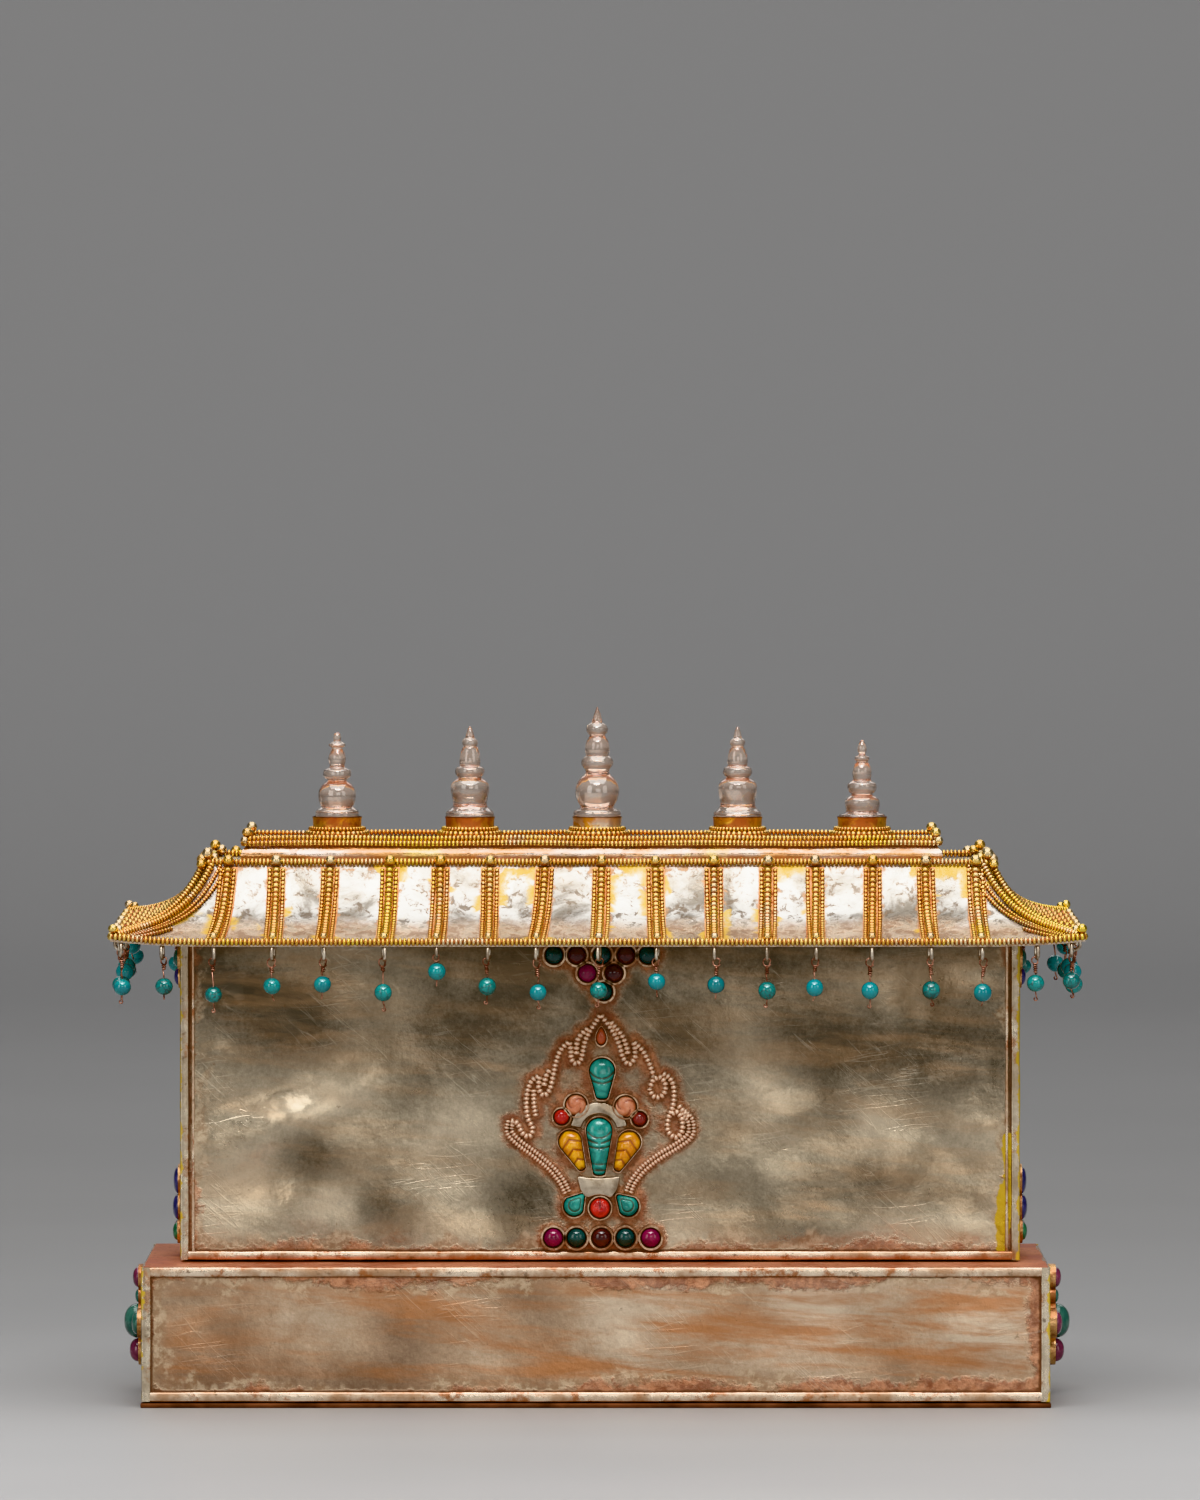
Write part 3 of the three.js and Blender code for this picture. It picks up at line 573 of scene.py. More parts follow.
def bent_bar(low, high, rounding=0.5 * MM, wander=0.3 * MM):
    """A soldered strip: a flat bar with rubbed edges that wanders a little along its length."""
    bar = added_block(low, high)
    length = [b - a for a, b in zip(low, high)]
    axis = length.index(max(length))
    edit(bar)
    pick(bar, "edges", lambda line: abs((line.verts[1].co - line.verts[0].co)[axis]) > 0.9 * length[axis])
    bpy.ops.mesh.bevel(offset=rounding, segments=3, affect="EDGES")
    cut_along(bar, axis, max(8, int(length[axis] / (2.2 * MM))))
    bpy.ops.object.mode_set(mode="OBJECT")
    dented(bar, "strip_wander", 9 * MM, wander)
    smoothed(60)
    return bar


PAINT_REACH = 2.3 * MM
RAIL_SINK = 0.06 * MM


def corner_posts(low, high, width, left_paint):
    """Four upright corner angles; "paint" is strongest where they face the right end of the
    box, and less at the left end."""
    middle = (low.x + high.x) / 2
    posts = joined("posts", [bent_bar((x, y, low.z), (x + width, y + width, high.z))
                             for x in (low.x, high.x - width) for y in (low.y, high.y - width)])
    places = [point.co.x - middle for point in posts.data.vertices]
    reach = max(abs(place) for place in places)
    mark(posts, "paint", [max(0.0, 1 - (reach - abs(place)) / PAINT_REACH)
                          * (1.25 if place > 0 else left_paint) for place in places])
    return posts


def edge_rails(low, high, inset, width, thick, heights):
    """Strips that run round a case between its posts, at each height."""
    rails = []
    for z in heights:
        for y in (low.y + RAIL_SINK, high.y - thick - RAIL_SINK):
            rails.append(bent_bar((low.x + inset, y, z), (high.x - inset, y + thick, z + width)))
        for x in (low.x + RAIL_SINK, high.x - thick - RAIL_SINK):
            rails.append(bent_bar((x, low.y + inset, z), (x + thick, high.y - inset, z + width)))
    return joined("rails", rails)


def strip_silver(name, dark, light, patina, patina_share):
    """Rubbed strip: light and dark in clouds, with blots of patina, dark specks and old yellow paint."""
    material, tree, shader = new_material(name)
    clouds = mottle(on_piece(tree), 70, 5, 0.65)
    blots = mottle(on_piece(tree), 190, 5, 0.7)
    fine = mottle(on_piece(tree), 500, 4, 0.6)
    tint = layer(band(clouds, 0.35, 0.62), dark, light)
    tint = layer(band(blots, 0.50, 0.64), tint, patina, patina_share)
    tint = layer(band(fine, 0.60, 0.72), tint, (0.13, 0.07, 0.035), 0.6)
    paint = band(scaled(blots, 2.4, attribute(tree, "paint")), 2.06, 2.20)
    tint = layer(paint, tint, (0.60, 0.42, 0.04), 0.9)
    connect(shader, tint, metallic=scaled(paint, -0.7, 1.0),
            roughness=scaled(paint, 0.15, band(clouds, 0.3, 0.7, 0.38, 0.2)),
            bump=relief(fine, 0.05 * MM, relief(clouds, 0.35 * MM)))
    return material


post_silver = strip_silver("post_silver", (0.45, 0.36, 0.26), (0.80, 0.71, 0.56), (0.44, 0.19, 0.08), 0.7)
rail_silver = strip_silver("rail_silver", (0.52, 0.33, 0.21), (0.90, 0.76, 0.60), (0.44, 0.17, 0.07), 0.85)
strip_high = plinth_high - Vector((0, 0, 0.35 * MM))
plinth_posts = corner_posts(plinth_low, strip_high, PLINTH_STRIP, 1.0)
plinth_posts.data.materials.append(post_silver)
plinth_rails = edge_rails(plinth_low, strip_high, PLINTH_STRIP * 0.9, PLINTH_STRIP, 1.3 * MM,
                          (plinth_low.z, strip_high.z - PLINTH_STRIP))
plinth_rails.data.materials.append(rail_silver)
for strips, name in ((plinth_posts, "plinth_corner_posts"), (plinth_rails, "plinth_edge_rails")):
    strips.name = name
    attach(strips, "root")


# ---- Body of the box ----
# The tall case is one thin silver sheet, dented by hand and age, its tarnish
# olive-grey, painted darker towards the top as painted shade under the eave, and lighter
# and warmer below as a painted reflection of the floor. A bright strip runs round its foot, and
# corner angles with a fine wire beside them close its edges.

body_low, body_high = [Vector(corner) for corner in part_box("box_body")]
BODY_STRIP = 2.2 * MM
# (x, z, depth, reach), and for a crease (x, z, end x, end z, depth, reach), in mm
BODY_DENTS = [
    (-72, 63, -0.9, 15), (-84, 54, 0.7, 12), (-60, 90, -0.6, 14), (-42, 96, 0.5, 13), (-38, 60, 0.7, 14),
    (-52, 48, -0.6, 11), (-26, 46, 0.5, 10), (-28, 82, -0.5, 9), (34, 94, -0.6, 15), (52, 76, 0.8, 13),
    (56, 86, -0.7, 11), (74, 52, -0.8, 15), (84, 66, 0.9, 13), (72, 96, -0.7, 13), (90, 44, -0.5, 9),
    (-94, 112, -1.1, 6), (-90, 103, 0.7, 7), (-96, 88, -0.9, 4.5), (-95, 99, -0.8, 5), (92, 104, -0.5, 8),
    (36, 50, 0.6, 11), (97, 52, -0.45, 4), (94, 60, 0.35, 4), (95, 43, -0.4, 3.5), (54, 108, 0.4, 10),
    (-68, 108, 0.5, 10),
]
BODY_CREASES = [
    (-97, 64, -79, 71, -1.3, 8), (-79, 71, -62, 80, -1.1, 8), (-88, 74, -66, 84, 0.8, 9),
    (-84, 56, -68, 64, 0.7, 8), (-30, 42, -12, 47, -0.5, 7), (-60, 108, -58, 84, 0.5, 9),
    (46, 71, 62, 77, -0.7, 7), (48, 64, 66, 69, 0.6, 8), (72, 58, 88, 70, -0.7, 7),
    (78, 86, 80, 100, 0.7, 8), (44, 42, 62, 44, -0.5, 7), (90, 60, 98, 92, 0.5, 5),
]
BODY_CUTS = (160, 44, 62)
BODY_FOOT = 0.8 * MM
body_walls = sheet_case(body_low + Vector((STRIP_PROUD, STRIP_PROUD, BODY_FOOT)),
                        body_high - Vector((STRIP_PROUD, STRIP_PROUD, 0.1 * MM)), BODY_CUTS,
                        (BODY_STRIP - STRIP_PROUD, BODY_STRIP - BODY_FOOT), strip_above=False)

# The sheet stays flat behind the medallion.
MEDALLION_HALF = 22 * MM
CALM_EDGE = 12 * MM
for point in body_walls.data.vertices:
    beyond = abs(point.co.x) - MEDALLION_HALF
    if point.co.y < 0 and beyond < CALM_EDGE:
        calm = min(1.0, max(0.12, beyond / CALM_EDGE))
        upright = min(1.0, (min(point.co.z - body_low.z, body_high.z - point.co.z) / (9 * MM)) ** 2)
        body_walls.vertex_groups["open_field"].add([point.index], calm * upright, "REPLACE")
dented(body_walls, "body_swell", 32 * MM, 1.8 * MM, "open_field")
dented(body_walls, "body_knocks", 12 * MM, 0.75 * MM, "open_field")
front_y = body_low.y + STRIP_PROUD
pressed(body_walls, [(x, z, x, z, depth, reach) for x, z, depth, reach in BODY_DENTS] + BODY_CREASES,
        front_y)
given_thickness(body_walls, SHEET_THICK)
# Listed spots where the body's sheet is painted darker or lighter: tarnish with painted shade, as under the
# eave at the top left, and painted highlights beside the creases on the left.
spotted_tarnish_and_light(body_walls, [
    (-79, 97, 15, -0.26), (-98, 106, 12, -0.14), (-73, 62, 9, -0.20), (-54, 50, 7, -0.20),
    (-17, 51, 8, -0.20), (-35, 101, 20, -0.03), (18, 90, 13, -0.06), (59, 87, 16, -0.18),
    (87, 85, 14, -0.14), (71, 55, 11, -0.18), (87, 53, 8, -0.14), (52, 49, 8, -0.14), (34, 108, 10, -0.08),
    (-84, 69, 12, 0.22), (-68, 76, 9, 0.18), (-97, 62, 8, 0.12), (-42, 67, 12, 0.14), (-67, 50, 8, 0.14),
    (-33, 42, 10, 0.16), (40, 76, 11, 0.18), (69, 71, 7, 0.14), (98, 70, 8, 0.12), (45, 62, 9, 0.10),
    (84, 43, 14, 0.12), (18, 41, 8, 0.14), (-96, 46, 12, 0.14), (-52, 82, 10, 0.06), (72, 106, 14, 0.14),
    (96, 106, 10, 0.14), (0, 104, 16, 0.16), (36, 104, 14, 0.10)
])
body_walls.name = "body_walls"
SPLASH_REACH = 4.4 * MM
splash_from, splash_to = Vector((100.5 * MM, front_y, 38 * MM)), Vector((103 * MM, front_y, 66 * MM))
mark(body_walls, "paint", [max(0.0, 1 - off_line(point.co, splash_from, splash_to) / SPLASH_REACH)
                           for point in body_walls.data.vertices])
body_walls.data.materials.append(tarnished_silver(
    "olive_silver", ((0.130, 0.110, 0.084), (0.350, 0.298, 0.222), (0.68, 0.58, 0.435)), 0.60, 0.20,
    (0.58, 0.36, 0.20), 0.34, 0.6, body_low.z, body_high.z, 0.29))
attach(body_walls, "root")
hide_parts("box_body")

body_posts = corner_posts(body_low, body_high, BODY_STRIP, 1.1)
body_posts.data.materials.append(post_silver)
body_rails = edge_rails(body_low, body_high, BODY_STRIP * 0.9, BODY_STRIP, 1.25 * MM, (body_low.z,))
CORNER_WIRE = 0.75 * MM
corner_wires = []
for y in (body_low.y + 0.1 * MM, body_high.y - 0.1 * MM - CORNER_WIRE):
    for x in (body_low.x + BODY_STRIP + 0.7 * MM, body_high.x - BODY_STRIP - 0.7 * MM - CORNER_WIRE):
        corner_wires.append(bent_bar((x, y, body_low.z + BODY_STRIP),
                                     (x + CORNER_WIRE, y + CORNER_WIRE, body_high.z), 0.3 * MM))
body_rails = joined("body_foot_rails", [body_rails] + corner_wires)
body_rails.data.materials.append(rail_silver)
for strips, name in ((body_posts, "body_corner_posts"), (body_rails, "body_foot_rails")):
    strips.name = name
    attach(strips, "root")


# ---- Roof sheet ----
# The lid's roof is a hipped sheet of bright silver, steep at the deck and
# flatter at the eave, its corners turned up, the back ones more. Soldering has
# left red and orange burns beside every rib, and paint has run over some panels.

EAVE_X = -0.6 * MM
EAVE_HALF = (120.9 * MM, 55.0 * MM)
EAVE_TOP = 115.9 * MM
DECK_HALF = (97.4 * MM, 32.0 * MM)
DECK_TOP = 134.7 * MM
ROOF_LIP = 0.55 * MM
CORNER_LIFT = {"front": 1.3 * MM, "back": 3.2 * MM}
LIFT_START = 0.8
FRONT_RIB_TOPS = [v * MM for v in (
    -92.8, -80.8, -67.3, -52.4, -39.8, -27.4, -13.8, 0.4, 13.8, 28.4, 42.0, 53.7, 68.1, 81.3, 93.8)]
FRONT_RIB_FEET = [v * MM for v in (
    -95.9, -81.2, -68.6, -53.6, -40.6, -27.7, -15.8, -0.3, 14.2, 28.4, 41.5, 53.6, 67.5, 82.0, 94.6)]
END_RIBS = [v * MM for v in (-26, -13, 0, 13, 26)]
END_RIB_SPREAD = 1.25
RIB_HALF = 2.35 * MM


def mix(a, b, share):
    return a + (b - a) * share


def slope_half(out):
    """Half the roof's length and depth where out is 0 at the deck's edge and 1 at the eave."""
    return mix(DECK_HALF[0], EAVE_HALF[0], out), mix(DECK_HALF[1], EAVE_HALF[1], out)


def slope_z(out):
    """Height of the slope there."""
    return DECK_TOP - (DECK_TOP - EAVE_TOP) * (0.55 * (1 - (1 - out) ** 4) + 0.45 * out)


def slope_normal(out):
    """(outward, upward) parts of the slope's normal."""
    drop = (DECK_TOP - EAVE_TOP) * (2.2 * (1 - out) ** 3 + 0.45)
    run = EAVE_HALF[1] - DECK_HALF[1]
    length = math.hypot(drop, run)
    return drop / length, run / length


def turned_up(x, y, out):
    """How far the roof is lifted towards its corners at a point."""
    half_x, half_y = slope_half(out)
    if abs(x - EAVE_X) > half_x - 0.01 * MM:
        return mix(CORNER_LIFT["front"], CORNER_LIFT["back"], (y / half_y + 1) / 2) * out * out
    turn = max(0.0, (abs(x - EAVE_X) / half_x - LIFT_START) / (1 - LIFT_START)) ** 2
    return CORNER_LIFT["front" if y < 0 else "back"] * turn * out * out


def on_roof(side, along, out, rise=0.0):
    """A point on one slope of the roof, raised off it along its normal."""
    outward, upward = slope_normal(out)
    facing = -1 if side in ("front", "left") else 1
    half_x, half_y = slope_half(out)
    if side in ("front", "back"):
        y = facing * half_y
        z = slope_z(out) + turned_up(along, y, out)
        return Vector((along, y + facing * outward * rise, z + upward * rise))
    x = EAVE_X + facing * half_x
    z = slope_z(out) + turned_up(x, along, out)
    return Vector((x + facing * outward * rise, along, z + upward * rise))


def pulled(move, grow, centre):
    """In edit mode, extrudes what is chosen and scales the new part about a centre."""
    bpy.ops.mesh.extrude_region_move(TRANSFORM_OT_translate={"value": move})
    bpy.ops.transform.resize(value=grow, center_override=centre)


def faces_out():
    """Points every face outwards and leaves edit mode."""
    bpy.ops.mesh.select_all(action="SELECT")
    bpy.ops.mesh.normals_make_consistent(inside=False)
    bpy.ops.object.mode_set(mode="OBJECT")


SLOPE_STEPS = 26
ROOF_CUTS = (200, 90)
NEAR = 0.0015 * MM
SOFFIT_EDGE = 2.6 * MM
soffit_half = (body_high.x - SOFFIT_EDGE, body_high.y - SOFFIT_EDGE)
rings = [(soffit_half, EAVE_TOP), ((body_high.x + 2 * MM, body_high.y + 2 * MM), EAVE_TOP)]
for inset, sink in ((SOFFIT_EDGE, 0.2 * MM), (ROOF_LIP, 0.2 * MM), (ROOF_LIP, ROOF_LIP), (0, ROOF_LIP)):
    rings.append(((EAVE_HALF[0] - inset, EAVE_HALF[1] - inset), EAVE_TOP - sink))
for step in range(SLOPE_STEPS + 1):
    out = 1 - step / SLOPE_STEPS
    rings.append((slope_half(out), slope_z(out)))
rings.append(((DECK_HALF[0] - 12 * MM, DECK_HALF[1] - 12 * MM), DECK_TOP))

roof = added(bpy.ops.mesh.primitive_plane_add, size=2, location=(EAVE_X, 0, EAVE_TOP))
roof.name = "roof_sheet"
roof.scale = (*soffit_half, 1)
bpy.ops.object.transform_apply()
edit(roof)
bpy.ops.mesh.flip_normals()
pick(roof, "edges", lambda line: True)
for (half, height), (next_half, next_height) in zip(rings, rings[1:]):
    pulled((0, 0, next_height - height), (next_half[0] / half[0], next_half[1] / half[1], 1),
           (EAVE_X, 0, next_height))
    corner = Vector((*next_half, next_height))
    pick(roof, "edges", lambda line: all((Vector((abs(end.co.x - EAVE_X), abs(end.co.y), end.co.z))
                                          - corner).length < NEAR for end in line.verts))
bpy.ops.mesh.edge_face_add()
for axis, cuts in enumerate(ROOF_CUTS):
    cut_along(roof, axis, cuts)
faces_out()


def rib_reach(x, y, out):
    """Distance to the nearest rib, hip, eave or deck edge along the slope."""
    half_x, half_y = slope_half(out)
    along = abs(x - EAVE_X)
    if half_x - along < 0.01 * MM:
        nearest = min(abs(y - rib * mix(1, END_RIB_SPREAD, out)) for rib in END_RIBS)
        hip = half_y - abs(y)
    else:
        nearest = min(abs(x - mix(top, foot, out)) for top, foot in zip(FRONT_RIB_TOPS, FRONT_RIB_FEET))
        hip = half_x - along
    return max(0.0, min(nearest - RIB_HALF, hip - 4.5 * MM, (1 - out) * 26 * MM, out * 30 * MM))


seam = []
slope_share = []
for point in roof.data.vertices:
    x, y, z = point.co
    outs = ((abs(x - EAVE_X) - DECK_HALF[0]) / (EAVE_HALF[0] - DECK_HALF[0]),
            (abs(y) - DECK_HALF[1]) / (EAVE_HALF[1] - DECK_HALF[1]))
    out = min(1.0, max(0.0, *outs))
    on_slope = z > EAVE_TOP + 0.01 * MM and abs(z - slope_z(out)) < 0.05 * MM and out > 0
    lifted = out if z > EAVE_TOP - 1.0 * MM and out > 0 else 0
    reach = rib_reach(x, y, out) if on_slope else 3 * MM
    seam.append(reach)
    slope_share.append(min(1.0, reach / (3.5 * MM)) if on_slope else 0.0)
    point.co.z += turned_up(x, y, lifted) if lifted else 0.0
mark(roof, "seam", seam)
weigh(roof, "open_field", slope_share)
dented(roof, "roof_pillows", 7 * MM, 0.8 * MM, "open_field")
dented(roof, "roof_ripple", 3 * MM, 0.28 * MM, "open_field")
take(roof)
smoothed(50)

bright_silver, tree, shader = new_material("bright_silver", metallic=1.0)
place = on_piece(tree)
clouds = mottle(place, 60, 6, 0.62, 0.5)
blots = mottle(place, 320, 6, 0.72, 0.4)
grain = mottle(place, 900, 4, 0.6)
seam_reach = attribute(tree, "seam")
height = place_axis(tree, 2)
tint = layer(band(clouds, 0.36, 0.62), (0.16, 0.14, 0.115), (0.62, 0.61, 0.585))
low_share = band(scaled(clouds, 5 * MM, height), 121.4 * MM, 125.0 * MM, 1.0, 0.0)
low_tone = layer(band(blots, 0.42, 0.58), (0.40, 0.26, 0.17), (0.70, 0.57, 0.44))
tint = layer(low_share, tint, low_tone, 0.85)
tint = layer(times(band(blots, 0.51, 0.60), scaled(low_share, -0.55, 0.85)), tint, (0.12, 0.088, 0.062))
ragged = sums("SUBTRACT", seam_reach, scaled(blots, 5 * MM, -2.6 * MM))
burn = band(ragged, -0.3 * MM, 0.7 * MM, 1.0, 0.0)
burn_tone = layer(band(blots, 0.42, 0.60), (0.40, 0.13, 0.045), (0.60, 0.32, 0.15))
tint = layer(burn, tint, burn_tone, 0.6)
paint = times(band(mottle(place, 55, 3, 0.5, 0.6), 0.565, 0.59),
             band(scaled(blots, -4 * MM, seam_reach), -1.6 * MM, 0.2 * MM, 1.0, 0.0))
tint = layer(paint, tint, (0.70, 0.45, 0.03), 0.8)
dull = larger(burn, low_share)
bump = relief(blots, 0.22 * MM, relief(mottle(place, 150, 4, 0.6, 0.5), 0.30 * MM))
connect(shader, tint, scaled(dull, 0.14, scaled(clouds, 0.3, 0.18)), relief(grain, 0.03 * MM, bump),
        scaled(larger(paint, burn), -0.45, 1.0))
roof.data.materials.append(bright_silver)
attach(roof, "root")
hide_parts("roof")


# ---- Ribs, hips and ropes of the roof ----
# Every rib is a copper-red strip with a thick beaded gilt wire down its middle and
# a thin one along each side, a grain of gold at its top and foot. A rope of beaded
# wire runs round the eave and another round the deck, and pairs of wires with thin
# ones beside them close the hips. All of it is soldered on and gilded.

RIB_GROUND = 0.28 * MM
THIN_WIRE = 0.60 * MM
THIN_OFFSET = 1.72 * MM
random.seed(11)


def wire_bead(name, radius, pitch, sides, rings):
    """One bead of rolled beaded wire along X, open at both necks.

    rings are (place along it, share of the radius); "crown" is 1 where it is widest."""
    bead = added(bpy.ops.mesh.primitive_circle_add, vertices=sides, radius=radius * rings[0][1],
                 rotation=(0, math.pi / 2, 0))
    bead.name = name
    bpy.ops.object.transform_apply()
    edit(bead)
    bpy.ops.mesh.select_mode(type="VERT")
    bpy.ops.mesh.select_all(action="SELECT")
    for (start, share), (end, next_share) in zip(rings, rings[1:]):
        grow = next_share / share
        pulled(((end - start) * pitch, 0, 0), (1, grow, grow), (end * pitch, 0, 0))
    bpy.ops.object.mode_set(mode="OBJECT")
    narrow = rings[0][1] * radius
    mark(bead, "crown", [(math.hypot(p.co.y, p.co.z) - narrow) / (radius - narrow)
                         for p in bead.data.vertices])
    return bead


def route(name, path, closed=False):
    """A curve through the points of a path."""
    curve = bpy.data.curves.new(name, "CURVE")
    curve.dimensions = "3D"
    spline = curve.splines.new("POLY")
    spline.points.add(len(path) - 1)
    for point, place in zip(spline.points, path):
        point.co = (*place, 1)
    spline.use_cyclic_u = closed
    line = bpy.data.objects.new(name, curve)
    bpy.context.collection.objects.link(line)
    return line


def twin_of(piece):
    """A copy of a piece with its own mesh."""
    twin = piece.copy()
    twin.data = piece.data.copy()
    bpy.context.collection.objects.link(twin)
    return twin


def settled(piece, place=(0, 0, 0), turn=(0, 0, 0), scale=(1, 1, 1)):
    """Moves, turns and scales a piece, and takes that into its mesh."""
    take(piece)
    piece.location = place
    piece.rotation_euler = turn
    piece.scale = scale
    bpy.ops.object.transform_apply()
    return piece


def wire_along(bead, path, closed=False):
    """A strand of beaded wire: the bead repeated and bent along a path."""
    line = route("route", path, closed)
    line.data.twist_mode = "Z_UP"
    pitch = max(p.co.x for p in bead.data.vertices)
    stops = path + path[:1] if closed else path
    length = sum((b - a).length for a, b in zip(stops, stops[1:]))
    count = max(2, round(length / pitch))
    strand = settled(twin_of(bead), scale=(length / count / pitch, 1, 1))
    row = strand.modifiers.new("row", "ARRAY")
    row.count = count
    row.use_merge_vertices = True
    row.merge_threshold = 0.03 * MM
    bend = strand.modifiers.new("bend", "CURVE")
    bend.object = line
    apply_modifiers(strand)
    bpy.data.objects.remove(line)
    return strand


def closed_up(piece):
    """Merges doubles, closes open ends, points the faces outwards and smooths them."""
    edit(piece)
    bpy.ops.mesh.select_mode(type="VERT")
    bpy.ops.mesh.select_all(action="SELECT")
    bpy.ops.mesh.remove_doubles(threshold=0.015 * MM)
    bpy.ops.mesh.select_all(action="SELECT")
    bpy.ops.mesh.fill_holes(sides=0)
    faces_out()
    bpy.ops.object.shade_smooth()
    return piece


def grain_ball(place, radius):
    """A solder grain at a place, a little squashed; "bare" is how far its gilt is gone."""
    scale = [radius * random.uniform(0.92, 1.06) for _ in range(3)]
    bare = random.choice((0.0, 0.0, 0.25, 0.8)) if radius > 1.05 * MM else random.uniform(0.3, 1.0)
    ball = settled(twin_of(grain), place, scale=scale)
    mark(ball, "bare", [bare] * len(ball.data.vertices))
    return ball


ROUND_BEAD = [(0, 0.36), (0.2, 0.82), (0.5, 1.0), (0.8, 0.82), (1, 0.36)]
FINE_BEAD = [(0, 0.42), (0.5, 1.0), (1, 0.42)]
RIB_WIRE = 1.08 * MM
thick_bead = wire_bead("thick_bead", 0.95 * MM, 0.94 * MM, 8,
                       [(0, 0.45), (0.24, 0.9), (0.5, 1.0), (0.76, 0.9), (1, 0.45)])
thin_bead = wire_bead("thin_bead", THIN_WIRE, 0.86 * MM, 6, FINE_BEAD)
rib_bead = wire_bead("rib_bead", RIB_WIRE, 1.5 * MM, 10,
                     [(0, 0.42), (0.2, 0.86), (0.5, 1.0), (0.8, 0.86), (1, 0.42)])
rib_edge_bead = wire_bead("rib_edge_bead", THIN_WIRE, 1.2 * MM, 6,
                          [(0, 0.3), (0.3, 0.9), (0.7, 0.9), (1, 0.3)])
eave_bead = wire_bead("eave_bead", 1.05 * MM, 1.07 * MM, 8, ROUND_BEAD)
deck_bead = wire_bead("deck_bead", 1.0 * MM, 0.98 * MM, 8, ROUND_BEAD)
grain = added(bpy.ops.mesh.primitive_uv_sphere_add, segments=12, ring_count=8, radius=1)
# The lower part of each grain counts as a neck and takes the dark neck colour: painted shade under the
# grain, with dirt.
mark(grain, "crown", [1.0 if point.co.z > -0.45 else 0.45 for point in grain.data.vertices])

RIB_DRIFT = 0.18 * MM
RIB_STEPS = 16


def rib_line(side, top, foot, offset, rise):
    """The path down one slope at a sideways offset, which drifts a little as if laid by eye."""
    drift = random.uniform(-RIB_DRIFT, RIB_DRIFT)
    path = []
    for step in range(RIB_STEPS + 1):
        out = mix(0.02, 0.985, step / RIB_STEPS)
        sway = drift * math.sin(3.1 * out + top * 90)
        path.append(on_roof(side, mix(top, foot, out) + offset + sway, out, rise))
    return path


def rib_strip(side, top, foot):
    """The copper strip under a rib: a grid primitive laid down the slope and thickened."""
    strip = added(bpy.ops.mesh.primitive_grid_add, x_subdivisions=4, y_subdivisions=RIB_STEPS, size=2)
    for point in strip.data.vertices:
        out = mix(0.01, 0.99, (1 - point.co.y) / 2)
        point.co = on_roof(side, mix(top, foot, out) + point.co.x * RIB_HALF, out, RIB_GROUND)
    if strip.data.polygons[0].normal.z <= 0:
        strip.data.flip_normals()
    wall = strip.modifiers.new("wall", "SOLIDIFY")
    wall.thickness = 0.5 * MM
    wall.offset = -1
    apply_modifiers(strip)
    return strip


def side_ribs(side):
    """Strips, wires and grains of all the ribs on one slope."""
    if side in ("front", "back"):
        lines = zip(FRONT_RIB_TOPS, FRONT_RIB_FEET)
    else:
        lines = [(y, y * END_RIB_SPREAD) for y in END_RIBS]
    strips, wires, grains = [], [], []
    for top, foot in lines:
        strips.append(rib_strip(side, top, foot))
        wires.append(wire_along(rib_bead, rib_line(side, top, foot, 0, RIB_GROUND + RIB_WIRE * 0.78)))
        for offset in (-THIN_OFFSET, THIN_OFFSET):
            path = rib_line(side, top, foot, offset, RIB_GROUND + THIN_WIRE * 0.8)
            wires.append(wire_along(rib_edge_bead, path))
        grains.append(grain_ball(on_roof(side, top, -0.01, 1.9 * MM), 1.42 * MM))
        grains.append(grain_ball(on_roof(side, foot, 0.945, 1.6 * MM), 1.04 * MM))
    return strips, wires, grains


gilt, tree, shader = new_material("worn_gilt", metallic=1.0)
place = on_piece(tree)
clouds = mottle(place, 38, 4, 0.6)
specks = mottle(place, 520, 5, 0.65)
crown_share = attribute(tree, "crown")
blots = mottle(place, 64, 5, 0.7)
gold = layer(band(clouds, 0.38, 0.62), (0.84, 0.50, 0.13), (0.97, 0.73, 0.25))
gold = layer(band(mottle(place, 30, 3, 0.5), 0.56, 0.62), gold, (0.92, 0.69, 0.13))
# The necks between beads, and the lower parts of the grains, take a dark copper-red: bared copper and dirt
# in the hollows, with painted shade there too.
neck_dirt_and_shade = layer(band(specks, 0.4, 0.6), (0.44, 0.135, 0.045), (0.20, 0.055, 0.02))
bared = times(band(blots, 0.56, 0.64), crown_share)
bared = larger(bared, attribute(tree, "bare"))
gold = layer(bared, gold, (0.74, 0.64, 0.50), 0.75)
edge = band(scaled(specks, 0.4, sums("SUBTRACT", crown_share, 0.68)), 0.0, 0.45)
tint = layer(edge, neck_dirt_and_shade, gold)
connect(shader, tint, scaled(edge, -0.26, scaled(specks, 0.15, 0.42)), metallic=scaled(edge, 0.45, 0.55),
        bump=relief(specks, 0.05 * MM))

red_ground, tree, shader = new_material("red_solder_ground", metallic=0.6)
place = on_piece(tree)
clouds = mottle(place, 120, 5, 0.6)
powder = mottle(place, 700, 5, 0.65)
tint = layer(band(clouds, 0.35, 0.65), (0.70, 0.29, 0.11), (0.90, 0.53, 0.24))
tint = layer(band(powder, 0.5, 0.7), tint, (0.38, 0.11, 0.04))
connect(shader, tint, band(powder, 0.3, 0.7, 0.4, 0.65), relief(powder, 0.12 * MM))

END_GILT = 0.8
rib_strips = []
for side in ("front", "back", "left", "right"):
    strips, wires, grains = side_ribs(side)
    rib_strips += strips
    rib_wires = closed_up(joined(f"{side}_rib_wires", wires + grains))
    if side in ("left", "right"):
        for crown in rib_wires.data.attributes["crown"].data:
            crown.value *= END_GILT
    rib_wires.data.materials.append(gilt)
    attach(rib_wires, "root")
    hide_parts("roof_wirework")
rib_ground = joined("rib_strips", rib_strips)
rib_ground.data.materials.append(red_ground)
smoothed(50)
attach(rib_ground, "root")


